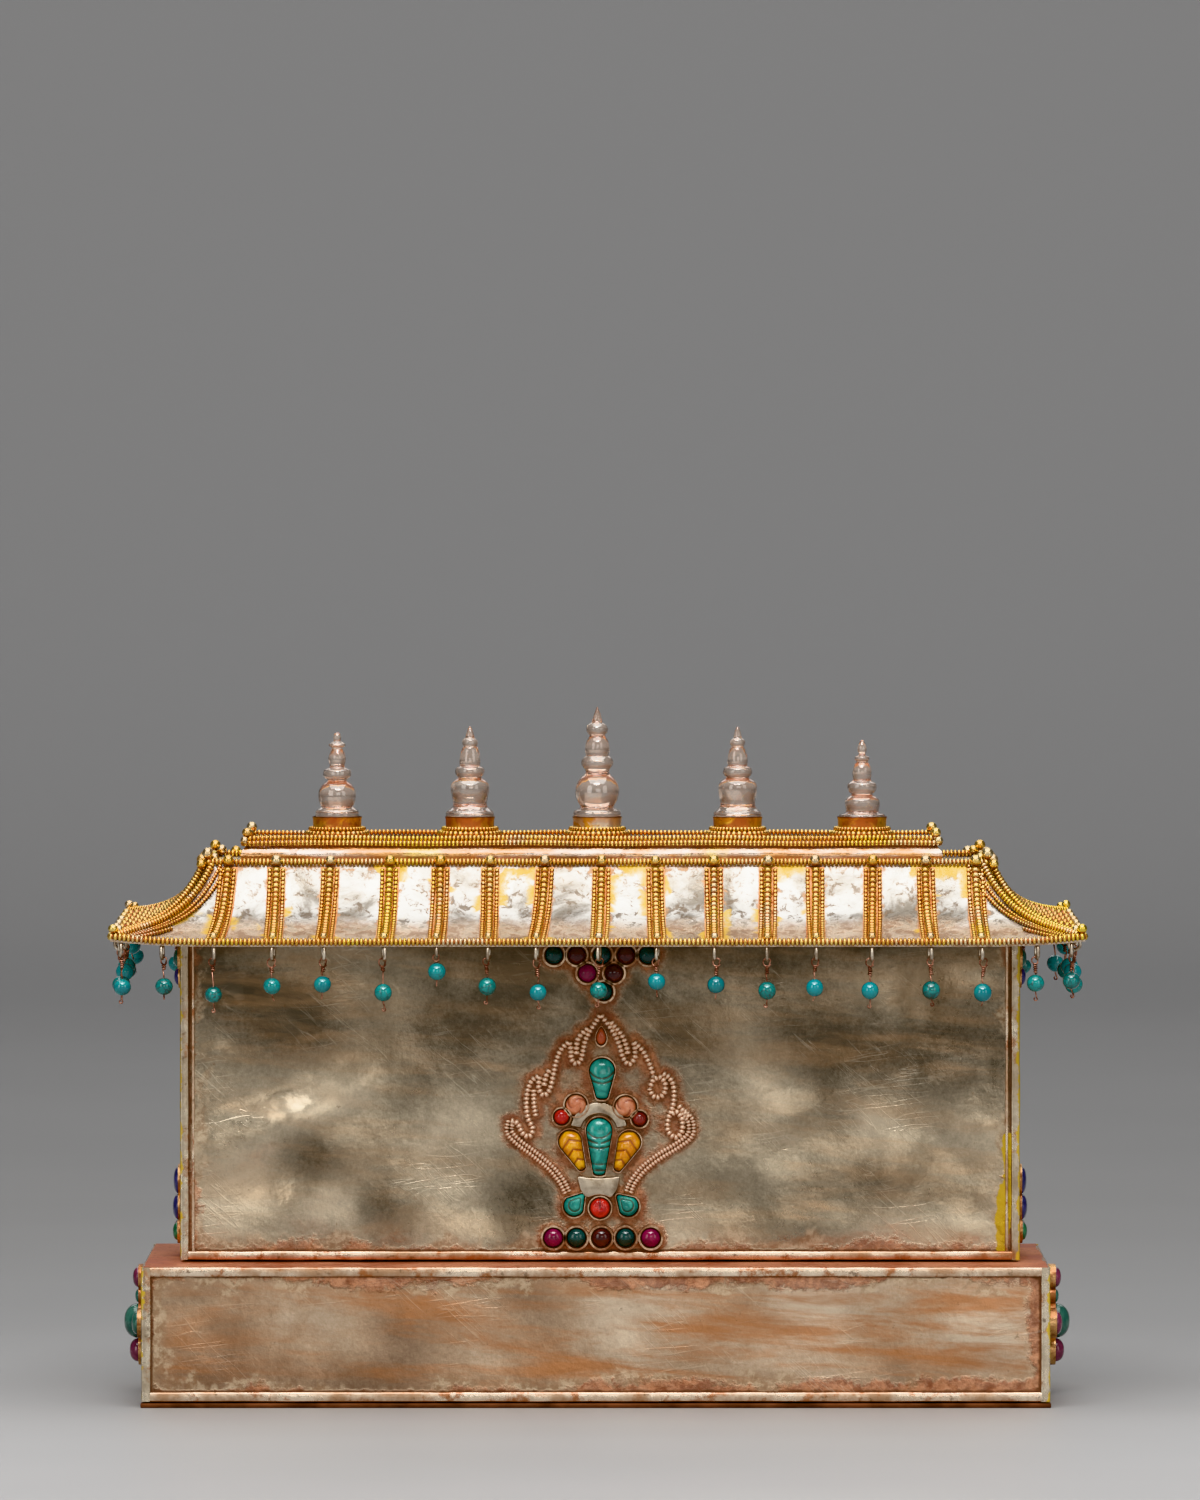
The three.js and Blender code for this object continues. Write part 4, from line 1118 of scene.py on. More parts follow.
def rounded_loop(half_x, half_y, centre_x, height_at, corner=1.2 * MM):
    """A path round a rectangle with small round corners."""
    path = []
    for turn, (sx, sy) in enumerate(((1, -1), (1, 1), (-1, 1), (-1, -1))):
        for step in range(5):
            angle = math.radians(-90 + 90 * turn + 22.5 * step)
            x = centre_x + sx * (half_x - corner) + corner * math.cos(angle)
            y = sy * (half_y - corner) + corner * math.sin(angle)
            path.append(Vector((x, y, height_at(x, y))))
    filled = []
    for a, b in zip(path, path[1:] + path[:1]):
        pieces = max(1, round((b - a).length / (5 * MM)))
        for step in range(pieces):
            spot = a.lerp(b, step / pieces)
            spot.z = height_at(spot.x, spot.y)
            filled.append(spot)
    return filled


ROPE_RISE = 0.6 * MM


def eave_height(x, y):
    """Height of the rope round the eave, which follows the roof's turned-up corners."""
    half_x, half_y = EAVE_HALF
    along = abs(x - EAVE_X)
    if half_x - along < 2 * MM:
        lift = mix(CORNER_LIFT["front"], CORNER_LIFT["back"], (max(-1, min(1, y / half_y)) + 1) / 2)
    else:
        turn = max(0, (along / half_x - LIFT_START) / (1 - LIFT_START)) ** 2
        lift = CORNER_LIFT["front" if y < 0 else "back"] * turn
    return EAVE_TOP + ROPE_RISE + lift


eave_rope = wire_along(eave_bead, rounded_loop(
    EAVE_HALF[0] - 0.2 * MM, EAVE_HALF[1] - 0.2 * MM, EAVE_X, eave_height), closed=True)
deck_rope = wire_along(deck_bead, rounded_loop(DECK_HALF[0] + 0.2 * MM, DECK_HALF[1] + 0.2 * MM, EAVE_X,
                                               lambda x, y: DECK_TOP + 0.85 * MM), closed=True)
roof_ropes = closed_up(joined("eave_and_deck_ropes", [eave_rope, deck_rope]))
roof_ropes.data.materials.append(gilt)
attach(roof_ropes, "root")


# (bead, gaps from the hip, rise, where it starts and ends, how far the gaps close towards the eave)
HIP_WIRES = [(thick_bead, (1.15, -1.15), 1.1, 0.0, 0.965, 0.3),
             (thin_bead, (3.3, 4.9, -3.3, -4.9), 0.5, 0.0, 0.97, 0.45),
             (thin_bead, (8.6, -8.6), 0.45, 0.66, 0.965, 0.55)]
# (at the foot of the hip, how far inwards, how far up, radius)
HIP_GRAINS = [(True, 0.5, 2.5, 1.2), (True, 2.6, 2.3, 1.0), (False, 0, 3.0, 1.45), (False, 2.4, 1.9, 1.2),
              (False, -2.2, 0.4, 1.2)]
HIP_STEPS = 20


def hip_line(side_x, side_y, across, rise, start, end, pinch):
    """A path down a hip; across is how far it lies on the long slope, or below 0 on the end slope."""
    path = []
    for step in range(HIP_STEPS + 1):
        out = mix(start, end, step / HIP_STEPS)
        half_x, half_y = slope_half(out)
        gap = across * (1 - pinch * out ** 3)
        if gap >= 0:
            side, along = "front" if side_y < 0 else "back", EAVE_X + side_x * (half_x - gap)
        else:
            side, along = "left" if side_x < 0 else "right", side_y * (half_y + gap)
        path.append(on_roof(side, along, out, rise))
    return path


hips = []
for side_x in (-1, 1):
    for side_y in (-1, 1):
        for bead, gaps, rise, start, end, pinch in HIP_WIRES:
            for gap in gaps:
                path = hip_line(side_x, side_y, gap * MM, rise * MM, start, end, pinch)
                hips.append(wire_along(bead, path))
        corner = hip_line(side_x, side_y, 0.0, 0.0, 0.0, 0.985, 0.0)
        inward = Vector((-side_x, -side_y, 0)).normalized()
        for at_foot, inwards, up, radius in HIP_GRAINS:
            place = corner[-1 if at_foot else 0] + inward * inwards * MM + Vector((0, 0, up * MM))
            hips.append(grain_ball(place, radius * MM))
hip_wires = closed_up(joined("hip_wires", hips))
hip_wires.data.materials.append(gilt)
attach(hip_wires, "root")


# ---- Crown of the roof ----
# A long shallow tray stands on the deck: its fascia is a rounded roll of bright,
# pink-stained silver, and two ropes of beaded gilt wire lie stacked on its rim,
# with grains of gold at its corners.

CROWN_X = -2.1 * MM
CROWN_HALF = (86.7 * MM, 21.6 * MM)
CROWN_BOTTOM = 135.0 * MM
CROWN_CUTS = (180, 46)
# (outset, height) of each rope
CROWN_ROPES = ((0.5 * MM, 139.95 * MM), (-0.2 * MM, 141.2 * MM))
# (inwards from the corner, height, radius) of each grain
CROWN_GRAINS = ((0.4 * MM, 142.6 * MM, 1.3 * MM), (-0.2 * MM, 140.6 * MM, 1.15 * MM))
# (outwards, up) round the roll, in mm
CROWN_ROLL = [(0.0, 0.0), (0.7, 0.4), (1.1, 1.0), (1.25, 1.7), (1.15, 2.4), (0.8, 3.1),
              (0.3, 3.7), (-0.3, 4.3), (-0.9, 5.1)]

crown = added(bpy.ops.mesh.primitive_plane_add, size=2, location=(CROWN_X, 0, CROWN_BOTTOM))
crown.name = "crown_tray"
crown.scale = (*CROWN_HALF, 1)
bpy.ops.object.transform_apply()
edit(crown)
pick(crown, "edges", lambda line: True)
for (outset, rise), (next_outset, next_rise) in zip(CROWN_ROLL, CROWN_ROLL[1:]):
    grow = [(half + next_outset * MM) / (half + outset * MM) for half in CROWN_HALF]
    pulled((0, 0, (next_rise - rise) * MM), (*grow, 1), (CROWN_X, 0, 0))
bpy.ops.mesh.edge_face_add()
for axis, cuts in enumerate(CROWN_CUTS):
    cut_along(crown, axis, cuts)
faces_out()
dented(crown, "crown_knocks", 9 * MM, 0.35 * MM)
dented(crown, "crown_ripple", 3.5 * MM, 0.12 * MM)
smoothed(60)

rosy_silver, tree, shader = new_material("rosy_silver", metallic=1.0)
place = on_piece(tree)
clouds = mottle(place, 55, 5, 0.6)
streaks = mottle(on_piece(tree, (1, 1, 7)), 60, 5, 0.6)
specks = mottle(place, 500, 5, 0.65)
height = place_axis(tree, 2)
tint = layer(band(clouds, 0.38, 0.62), (0.56, 0.37, 0.26), (0.82, 0.72, 0.63))
tint = layer(band(streaks, 0.44, 0.58), tint, (0.70, 0.36, 0.13), 0.85)
tint = layer(band(mottle(place, 42, 4, 0.6), 0.54, 0.62), tint, (0.86, 0.66, 0.22), 0.7)
tint = layer(band(mottle(place, 150, 6, 0.7, 0.6), 0.52, 0.62), tint, (0.36, 0.19, 0.10), 0.65)
# Red-brown bands below the roll's bulge and along its top, where the ropes sit: stain along the joins, and
# painted shade where the roll turns down away from the light.
join_stain_and_shade = larger(band(scaled(specks, 1.6 * MM, height), CROWN_BOTTOM + 1.9 * MM, CROWN_BOTTOM + 3.0 * MM,
                   1.0, 0.0),
              band(scaled(specks, 1.2 * MM, height), CROWN_BOTTOM + 4.0 * MM, CROWN_BOTTOM + 4.8 * MM))
tint = layer(join_stain_and_shade, tint, (0.50, 0.18, 0.07), 0.9)
tint = layer(band(specks, 0.63, 0.72), tint, (0.22, 0.12, 0.07), 0.5)
connect(shader, tint, scaled(join_stain_and_shade, 0.2, band(clouds, 0.3, 0.7, 0.34, 0.22)),
        relief(specks, 0.06 * MM, relief(clouds, 0.9 * MM)))
crown.data.materials.append(rosy_silver)
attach(crown, "root")
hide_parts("crown")

crown_bead = wire_bead("crown_bead", 0.78 * MM, 1.02 * MM, 8, ROUND_BEAD)
crown_strands = []
for outset, height in CROWN_ROPES:
    loop = rounded_loop(CROWN_HALF[0] + outset, CROWN_HALF[1] + outset, CROWN_X,
                        lambda x, y: height + 0.12 * MM * math.sin(x * 130 + y * 90), 1.0 * MM)
    crown_strands.append(wire_along(crown_bead, loop, closed=True))
for sx in (-1, 1):
    for sy in (-1, 1):
        x, y = CROWN_X + sx * CROWN_HALF[0], sy * CROWN_HALF[1]
        for inwards, height, radius in CROWN_GRAINS:
            crown_strands.append(grain_ball((x - sx * inwards, y - sy * inwards, height), radius))
crown_ropes = closed_up(joined("crown_rope_pair", crown_strands))
crown_ropes.data.materials.append(gilt)
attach(crown_ropes, "root")
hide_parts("crown_ropes")


# ---- Collars of the crystals ----
# Each crystal stands in a low cup of gilt sheet, stained brown and orange, with a
# thin ring and a thick ring of beaded wire round its foot. The middle cup has lost
# most of its gold and shows silver.

FINIAL_X = [v * MM for v in (-66.3, -32.8, -0.7, 34.7, 66.1)]
# (radius, height) up the cup, in mm
CUP_PROFILE = [(7.0, 140.45), (6.9, 141.6), (6.3, 142.2), (6.12, 142.8), (6.1, 143.8), (6.16, 145.2),
               (6.3, 145.95), (6.12, 146.0), (6.08, 145.4)]
# (radius, height, radius of its wire, length of a bead) in mm
COLLAR_RINGS = ((7.5, 141.75, 0.78, 1.36), (6.75, 142.95, 0.58, 0.92))


def turned_piece(name, profile, sides):
    """A turned shape: a circle primitive pulled up and scaled ring by ring, closed at both ends."""
    piece = added(bpy.ops.mesh.primitive_circle_add, vertices=sides, radius=profile[0][0] * MM,
                  location=(0, 0, profile[0][1] * MM), fill_type="NGON")
    piece.name = name
    bpy.ops.object.transform_apply()
    edit(piece)
    bpy.ops.mesh.select_all(action="SELECT")
    bpy.ops.mesh.select_mode(type="EDGE")
    for (radius, height), (next_radius, next_height) in zip(profile, profile[1:]):
        rise = (0, 0, (next_height - height) * MM)
        bpy.ops.mesh.extrude_edges_move(TRANSFORM_OT_translate={"value": rise})
        grow = next_radius / radius
        bpy.ops.transform.resize(value=(grow, grow, 1), center_override=(0, 0, next_height * MM))
    bpy.ops.mesh.edge_face_add()
    faces_out()
    return piece


def cup_finish(name, gold, stain, stain_low, stain_high):
    """Stained gilt sheet, with a dark line of dirt under its lip."""
    material, tree, shader = new_material(name, metallic=1.0)
    place = on_piece(tree)
    clouds = mottle(place, 150, 5, 0.6, 0.5)
    specks = mottle(place, 700, 5, 0.65)
    height = place_axis(tree, 2)
    tint = layer(band(clouds, stain_low, stain_high), gold, stain)
    lip = band(scaled(specks, 0.5 * MM, height), 145.8 * MM, 146.2 * MM)
    tint = layer(lip, tint, (0.07, 0.03, 0.02), 0.85)
    tint = layer(band(specks, 0.58, 0.7), tint, (0.30, 0.12, 0.05), 0.5)
    connect(shader, tint, band(clouds, 0.3, 0.7, 0.26, 0.5),
            relief(specks, 0.05 * MM, relief(clouds, 0.2 * MM)))
    return material


stained_cup = cup_finish("stained_gilt_cup", (0.82, 0.50, 0.10), (0.52, 0.20, 0.08), 0.44, 0.58)
bared_cup = cup_finish("bared_silver_cup", (0.78, 0.71, 0.58), (0.66, 0.36, 0.06), 0.50, 0.58)
collar_beads = [wire_bead(f"collar_bead_{i}", radius * MM, pitch * MM, 8, ROUND_BEAD)
                for i, (_, _, radius, pitch) in enumerate(COLLAR_RINGS)]
cup = turned_piece("collar_cup", CUP_PROFILE, 48)
dented(cup, "cup_knocks", 4 * MM, 0.12 * MM)
smoothed(40)
for number, x in enumerate(FINIAL_X, 1):
    collar_cup = settled(twin_of(cup), (x, 0, 0))
    collar_cup.name = f"collar_cup_{number}"
    collar_cup.data.materials.append(bared_cup if number == 3 else stained_cup)
    strands = []
    for bead, (radius, height, _, _) in zip(collar_beads, COLLAR_RINGS):
        loop = [Vector((x + radius * MM * math.cos(a), radius * MM * math.sin(a), height * MM))
                for a in np.linspace(0, 2 * math.pi, 40, endpoint=False)]
        strands.append(wire_along(bead, loop, closed=True))
    collar_ring = closed_up(joined(f"collar_rings_{number}", strands))
    collar_ring.data.materials.append(gilt)
    for piece in (collar_cup, collar_ring):
        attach(piece, "root")
    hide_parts(f"collar_{number}")
bpy.data.objects.remove(cup)
for bead in collar_beads:
    bpy.data.objects.remove(bead)


# ---- Rock-crystal finials ----
# Five little stupa tops turned and carved from clear quartz: a flange, a globe, a
# disc, a barrel, a knob and a pointed tip, each a bit different. Pink-orange
# polishing residue stays in their grooves.

CRYSTAL_FOOT = 145.5
# (radius, height above the foot) up each crystal, in mm
CRYSTALS = [
    [(5.2, 0), (5.5, 0.4), (5.4, 1.8), (4.6, 2.5), (4.1, 3.0), (4.6, 4.2), (4.75, 5.9), (4.5, 7.4),
     (3.5, 8.7), (2.4, 9.5), (3.4, 10.4), (3.6, 11.2), (3.3, 12.2), (1.9, 12.9), (2.1, 14.2), (2.2, 15.4),
     (1.6, 17.0), (1.4, 17.7), (2.1, 18.2), (2.0, 18.8), (0.9, 19.5), (1.05, 20.4), (0.7, 21.3),
     (0.12, 21.7)],
    [(5.7, 0), (6.1, 0.4), (6.0, 1.6), (5.0, 2.4), (4.3, 3.4), (4.5, 5.0), (4.9, 6.6), (4.9, 8.4),
     (4.1, 9.5), (3.0, 10.2), (3.5, 10.9), (3.75, 11.7), (3.5, 12.7), (2.6, 13.2), (2.7, 14.4),
     (2.4, 16.2), (1.95, 17.8), (1.7, 18.1), (2.0, 18.8), (1.8, 19.8), (1.2, 20.3), (0.9, 21.4),
     (0.4, 22.7), (0.1, 23.2)],
    [(5.5, 0), (6.0, 0.5), (5.9, 1.9), (4.5, 2.6), (4.4, 3.2), (5.3, 4.8), (5.6, 6.7), (5.2, 8.8),
     (4.1, 10.3), (3.0, 11.3), (3.2, 12.3), (3.9, 13.3), (4.0, 14.5), (3.4, 15.4), (2.9, 15.9),
     (3.1, 17.2), (2.8, 19.4), (2.0, 20.8), (2.5, 21.5), (2.75, 22.6), (2.2, 23.7), (1.4, 24.2),
     (0.9, 25.9), (0.1, 28.15)],
    [(5.7, 0), (6.1, 0.4), (6.0, 1.5), (5.1, 2.3), (4.4, 3.4), (4.6, 5.0), (4.9, 6.8), (4.8, 8.6),
     (4.0, 9.6), (2.9, 10.2), (3.5, 10.9), (3.7, 11.7), (3.4, 12.7), (2.5, 13.2), (2.6, 14.5),
     (2.3, 16.3), (1.8, 17.8), (1.6, 18.1), (2.0, 18.8), (1.8, 19.8), (1.1, 20.3), (0.85, 21.4),
     (0.4, 22.7), (0.1, 23.2)],
    [(5.5, 0), (5.9, 0.3), (5.7, 1.0), (4.3, 1.5), (4.2, 2.2), (4.4, 3.2), (4.4, 4.4), (3.7, 5.3),
     (2.7, 6.0), (3.4, 6.7), (3.75, 7.8), (3.5, 8.8), (2.3, 9.5), (2.3, 10.4), (2.5, 11.8), (2.0, 13.4),
     (1.5, 14.2), (1.9, 14.8), (1.8, 15.5), (0.9, 16.1), (1.2, 17.1), (1.0, 18.3), (0.5, 19.4),
     (0.1, 19.8)],
]


def eased(points, steps):
    """A smooth line through points, with more places between them."""
    points = np.array(points, float)
    padded = np.vstack([2 * points[0] - points[1], points, 2 * points[-1] - points[-2]])
    line = []
    for i in range(len(points) - 1):
        p0, p1, p2, p3 = padded[i:i + 4]
        for step in range(steps):
            t = step / steps
            line.append(0.5 * (2 * p1 + (p2 - p0) * t + (2 * p0 - 5 * p1 + 4 * p2 - p3) * t * t
                               + (3 * p1 - p0 - 3 * p2 + p3) * t ** 3))
    line.append(points[-1])
    return line


quartz, tree, shader = new_material("rock_crystal", roughness=0.03)
place = on_piece(tree)
shader.inputs["IOR"].default_value = 1.54
shader.inputs["Transmission Weight"].default_value = 0.91
shader.inputs["Coat Weight"].default_value = 0.8
shader.inputs["Coat IOR"].default_value = 1.8
shader.inputs["Coat Roughness"].default_value = 0.02
groove = attribute(tree, "groove")
veils = mottle(place, 240, 6, 0.65, 1.2)
specks = mottle(place, 1100, 4, 0.6)
residue = times(band(scaled(veils, 1.9, groove), 1.20, 1.85), band(specks, 0.30, 0.56))
tint = layer(band(veils, 0.42, 0.62), (1.0, 0.87, 0.76), (0.97, 0.74, 0.60))
tint = layer(residue, tint, (0.74, 0.30, 0.17), 0.85)
connect(shader, tint, scaled(residue, 0.3, band(veils, 0.45, 0.75, 0.0, 0.02)),
        relief(mottle(place, 300, 3, 0.5), 0.03 * MM))
for number, (x, profile) in enumerate(zip(FINIAL_X, CRYSTALS), 1):
    line = [(max(0.1, radius), CRYSTAL_FOOT + height) for radius, height in eased(profile, 3)]
    crystal = turned_piece(f"crystal_finial_{number}", line, 44)
    radii = np.array([radius for radius, _ in line])
    heights = np.array([height for _, height in line])
    around = np.array([radii[max(0, i - 5):i + 6].mean() for i in range(len(radii))])
    hollow = np.clip((around - radii) / 0.7, 0, 1)
    mark(crystal, "groove", [float(np.interp(p.co.z / MM, heights, hollow)) for p in crystal.data.vertices])
    tall = profile[-1][1]
    rises = [point.co.z / MM - CRYSTAL_FOOT for point in crystal.data.vertices]
    weigh(crystal, "body", [max(0.0, min(1.0, (tall - 1.5 - rise) / 3, rise - 0.3)) for rise in rises])
    settled(crystal, (x, 0, 0))
    dented(crystal, f"carving_{number}", 3.2 * MM, 0.24 * MM, "body")
    smoothed(60)
    crystal.data.materials.append(quartz)
    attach(crystal, "root")
    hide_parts(f"crystal_{number}")


# ---- Fringe of turquoise beads ----
# Silver rings are soldered under the lip of the eave. From each hangs a turquoise
# bead on a copper head pin, looped through the ring and wound round itself. No two
# are wound alike, and the stones run from bright blue to deep veined green.

FRINGE_INSET = 1.85 * MM
FRINGE_TOP = 115.4 * MM
FRONT_DROPS = [v * MM for v in (11.2, 10.3, 12.0, 9.9, 9.5, 11.5, 6.3, 10.0, 11.5, 11.0, 8.8, 9.6, 11.0,
                                10.3, 11.0, 10.9, 11.5, 9.5, 9.5)]
SIDE_HANGERS = [v * MM for v in (-34, -17, 0, 17, 34)]
BEAD_RADIUS = 2.24 * MM
RING_RADIUS = 1.42 * MM
RING_WIRE = 0.46 * MM
RING_TALL = 4.3 * MM
RING_SUNK = 0.5 * MM
PIN_WIRE = 0.19 * MM


def eave_lift(x, y):
    return eave_height(x, y) - EAVE_TOP - ROPE_RISE


hanger_spots = []
hang_x, hang_y = EAVE_HALF[0] - FRINGE_INSET, EAVE_HALF[1] - FRINGE_INSET
row_x = [EAVE_X - hang_x + 0.6 * MM, EAVE_X - hang_x + 11 * MM, *FRONT_RIB_FEET,
         EAVE_X + hang_x - 10 * MM, EAVE_X + hang_x - 1.4 * MM]
for x, drop, back_drop in zip(row_x, FRONT_DROPS, reversed(FRONT_DROPS)):
    hanger_spots.append((x, -hang_y, drop))
    hanger_spots.append((x, hang_y, back_drop))
for side in (-1, 1):
    for y, drop in zip(SIDE_HANGERS, FRONT_DROPS[2:]):
        hanger_spots.append((EAVE_X + side * hang_x, y, drop))

random.seed(23)
ring_link = added(bpy.ops.mesh.primitive_torus_add, major_segments=22, minor_segments=8,
                  major_radius=RING_RADIUS, minor_radius=RING_WIRE, rotation=(0, math.pi / 2, 0))
bpy.ops.object.transform_apply()
for point in ring_link.data.vertices:
    stretch = RING_TALL / 2 - RING_RADIUS - RING_WIRE
    point.co.z += stretch if point.co.z > 0 else -stretch
stone_bead = added(bpy.ops.mesh.primitive_uv_sphere_add, segments=24, ring_count=16, radius=BEAD_RADIUS)
dented(stone_bead, "bead_shape", 3 * MM, 0.10 * MM)


def bent_wire(name, points, radius):
    """A length of plain wire along points, as a mesh."""
    wire = route(name, points)
    wire.data.bevel_depth = radius
    wire.data.bevel_resolution = 1
    wire.data.use_fill_caps = True
    take(wire)
    bpy.ops.object.convert(target="MESH")
    bpy.ops.object.shade_smooth()
    return bpy.context.object


def head_pin(x, y, ring_foot, bead_z):
    """The loop through the ring, the turns wound below it, the shank and its end under the bead."""
    loop = random.uniform(0.85, 1.2) * MM
    turn = random.uniform(-0.7, 0.7)
    lean = random.uniform(-0.35, 0.35) * MM
    neck = bead_z + BEAD_RADIUS
    loop = min(loop, max(0.55 * MM, (ring_foot + 0.9 * MM - neck) / 2))
    centre_z = ring_foot + RING_WIRE * 1.6 - loop + 0.1 * MM
    points = []
    for step in range(13):
        angle = math.radians(-60 + 300 * step / 12)
        across = loop * math.sin(angle - math.pi)
        points.append(Vector((x + lean + across * math.cos(turn), y + across * math.sin(turn),
                              centre_z + loop * math.cos(angle - math.pi))))
    wound_from = centre_z - loop
    wound_to = max(neck + 0.1 * MM, wound_from - random.uniform(1.2, 2.6) * MM)
    turns = max(1.5, (wound_from - wound_to) / (0.55 * MM))
    for step in range(int(turns * 8)):
        share = step / (turns * 8)
        angle = 2 * math.pi * turns * share
        wide = random.uniform(0.30, 0.46) * MM
        points.append(Vector((x + lean * (1 - share) + wide * math.cos(angle), y + wide * math.sin(angle),
                              mix(wound_from, wound_to, share))))
    points.append(Vector((x, y, min(wound_to, neck + 0.3 * MM))))
    end = bead_z - BEAD_RADIUS
    points.append(Vector((x, y, end)))
    tip_x, tip_y = random.uniform(-0.5, 0.5) * MM, random.uniform(-0.4, 0.4) * MM
    points.append(Vector((x + tip_x, y + tip_y, end - random.uniform(0.9, 1.7) * MM)))
    if random.random() < 0.4:
        for step in range(1, 6):
            angle = math.radians(60 * step)
            points.append(points[-1] + Vector((0.42 * MM * math.cos(angle), 0,
                                               -0.42 * MM * math.sin(angle))))
    return bent_wire("head_pin", points, PIN_WIRE)


ring_links, pins, stone_beads = [], [], []
for x, y, drop in hanger_spots:
    top = FRINGE_TOP + eave_lift(x, y)
    on_end = abs(y) < hang_y - 1 * MM
    swing = random.uniform(-0.2, 0.2) + (math.pi / 2 if on_end else 0)
    tall = 0.74 if drop < 8 * MM else 1.0
    ring_place = (x, y, top - (RING_TALL / 2 - RING_SUNK) * tall)
    ring_links.append(settled(twin_of(ring_link), ring_place, (0, 0, swing), (1, 1, tall)))
    bead_x = x + random.uniform(-0.5, 0.5) * MM
    bead_y = y + random.uniform(-0.3, 0.3) * MM
    pins.append(head_pin(bead_x, bead_y, top - (RING_TALL - RING_SUNK) * tall, top - drop))
    size = random.uniform(0.97, 1.03)
    turn = random.uniform(0, 6)
    tilt = random.uniform(-0.3, 0.3)
    scale = (size, size, size * random.uniform(0.95, 1.02))
    bead = settled(twin_of(stone_bead), (bead_x, bead_y, top - drop), (tilt, 0, turn), scale)
    mark(bead, "kind", [random.random()] * len(bead.data.vertices))
    stone_beads.append(bead)
bpy.data.objects.remove(ring_link)
bpy.data.objects.remove(stone_bead)

dull_silver, tree, shader = new_material("fringe_silver", metallic=1.0)
clouds = mottle(on_piece(tree), 400, 5, 0.6)
tint = layer(band(clouds, 0.38, 0.62), (0.40, 0.32, 0.24), (0.80, 0.72, 0.60))
connect(shader, tint, band(clouds, 0.3, 0.7, 0.45, 0.28), relief(clouds, 0.15 * MM))
fringe_rings = joined("fringe_rings", ring_links)
bpy.ops.object.shade_smooth()
fringe_rings.data.materials.append(dull_silver)
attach(fringe_rings, "root")

pin_copper, tree, shader = new_material("pin_copper", metallic=1.0)
clouds = mottle(on_piece(tree), 700, 4, 0.6)
tint = layer(band(clouds, 0.4, 0.6), (0.20, 0.085, 0.06), (0.62, 0.33, 0.24))
connect(shader, tint, band(clouds, 0.3, 0.7, 0.5, 0.3))
fringe_pins = joined("fringe_pins", pins)
fringe_pins.data.materials.append(pin_copper)
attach(fringe_pins, "root")

bead_turquoise, tree, shader = new_material("bead_turquoise", roughness=0.12)
place = on_piece(tree)
kind = attribute(tree, "kind")
clouds = mottle(place, 320, 5, 0.6, 0.6)
stone_tone = colour_ramp(kind, [(0, (0.0, 0.14, 0.16)), (1, (0.002, 0.12, 0.11)), (0.35, (0.0, 0.28, 0.32)),
                                (0.7, (0.004, 0.25, 0.23))])
tint = layer(band(clouds, 0.42, 0.66, 0.0, 0.5), stone_tone, (0.03, 0.36, 0.34))
waves = add_node(tree, "ShaderNodeVectorMath", {0: mottle(place, 500, 3), "Scale": 1.6 * MM},
                 operation="SCALE")
waved = add_node(tree, "ShaderNodeVectorMath", {0: place, 1: waves.outputs[0]}, operation="ADD")
crack = add_node(tree, "ShaderNodeTexVoronoi", {"Vector": waved.outputs[0], "Scale": 620},
                 feature="DISTANCE_TO_EDGE")
vein = times(band(crack.outputs["Distance"], 0.0, 0.07, 1.0, 0.0),
            band(sums("ADD", clouds, kind), 0.75, 1.25))
tint = layer(vein, tint, (0.012, 0.03, 0.028), 0.85)
connect(shader, tint, scaled(vein, 0.3, 0.1))
shader.inputs["Coat Weight"].default_value = 1.0
shader.inputs["Coat Roughness"].default_value = 0.03
fringe_beads = joined("fringe_beads", stone_beads)
bpy.ops.object.shade_smooth()
fringe_beads.data.materials.append(bead_turquoise)
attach(fringe_beads, "root")
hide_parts("fringe")


# ---- Medallion of stones on the front ----
# A flaming jewel laid out on the middle of the front: bezels of thin silver strip,
# reddened by the solder, hold carved turquoise, amber and coral. Pairs of loops of
# beaded silver wire rise up both sides and sweep in below to the green drops.

SOLDER_THICK = 0.15 * MM
WALL_Y = body_low.y + STRIP_PROUD - SOLDER_THICK
BEZEL_WALL = 0.46 * MM
BEZEL_HEIGHT = 1.8 * MM
BEZEL_MARGIN = 0.5
OUTLINE_POINTS = 44


def drop_outline(width, height, foot=0.35):
    """A drop's outline in mm, its round end up, as evenly placed points."""
    half = width / 2
    corners = [(half * math.cos(a), height / 2 - half + half * math.sin(a))
               for a in np.linspace(-0.15, math.pi + 0.15, 26)]
    corners += [(-half * foot - 0.10 * half, -height / 2 + 0.3), (-half * foot * 0.5, -height / 2),
                (half * foot * 0.5, -height / 2), (half * foot + 0.10 * half, -height / 2 + 0.3)]
    return evenly_round(corners, OUTLINE_POINTS)


def pear_outline(width, height):
    """A pear with a pointed top, in mm."""
    line = []
    for angle in np.linspace(0, 2 * math.pi, 60, endpoint=False):
        lean = 0.5 + 0.5 * math.sin(angle)
        line.append((width / 2 * math.cos(angle) * (1 - 0.55 * lean ** 2), height / 2 * math.sin(angle)))
    return evenly_round(line, OUTLINE_POINTS)


def round_outline(radius, count=36):
    return [(radius * math.cos(a), radius * math.sin(a))
            for a in np.linspace(0, 2 * math.pi, count, endpoint=False)]


def evenly_round(corners, count):
    """Points an equal way apart round a closed outline."""
    ring = [Vector((*c, 0)) for c in corners] + [Vector((*corners[0], 0))]
    lengths = np.cumsum([0] + [(b - a).length for a, b in zip(ring, ring[1:])])
    spots = np.linspace(0, lengths[-1], count, endpoint=False)
    xs = np.interp(spots, lengths, [p.x for p in ring])
    ys = np.interp(spots, lengths, [p.y for p in ring])
    return list(zip(xs, ys))


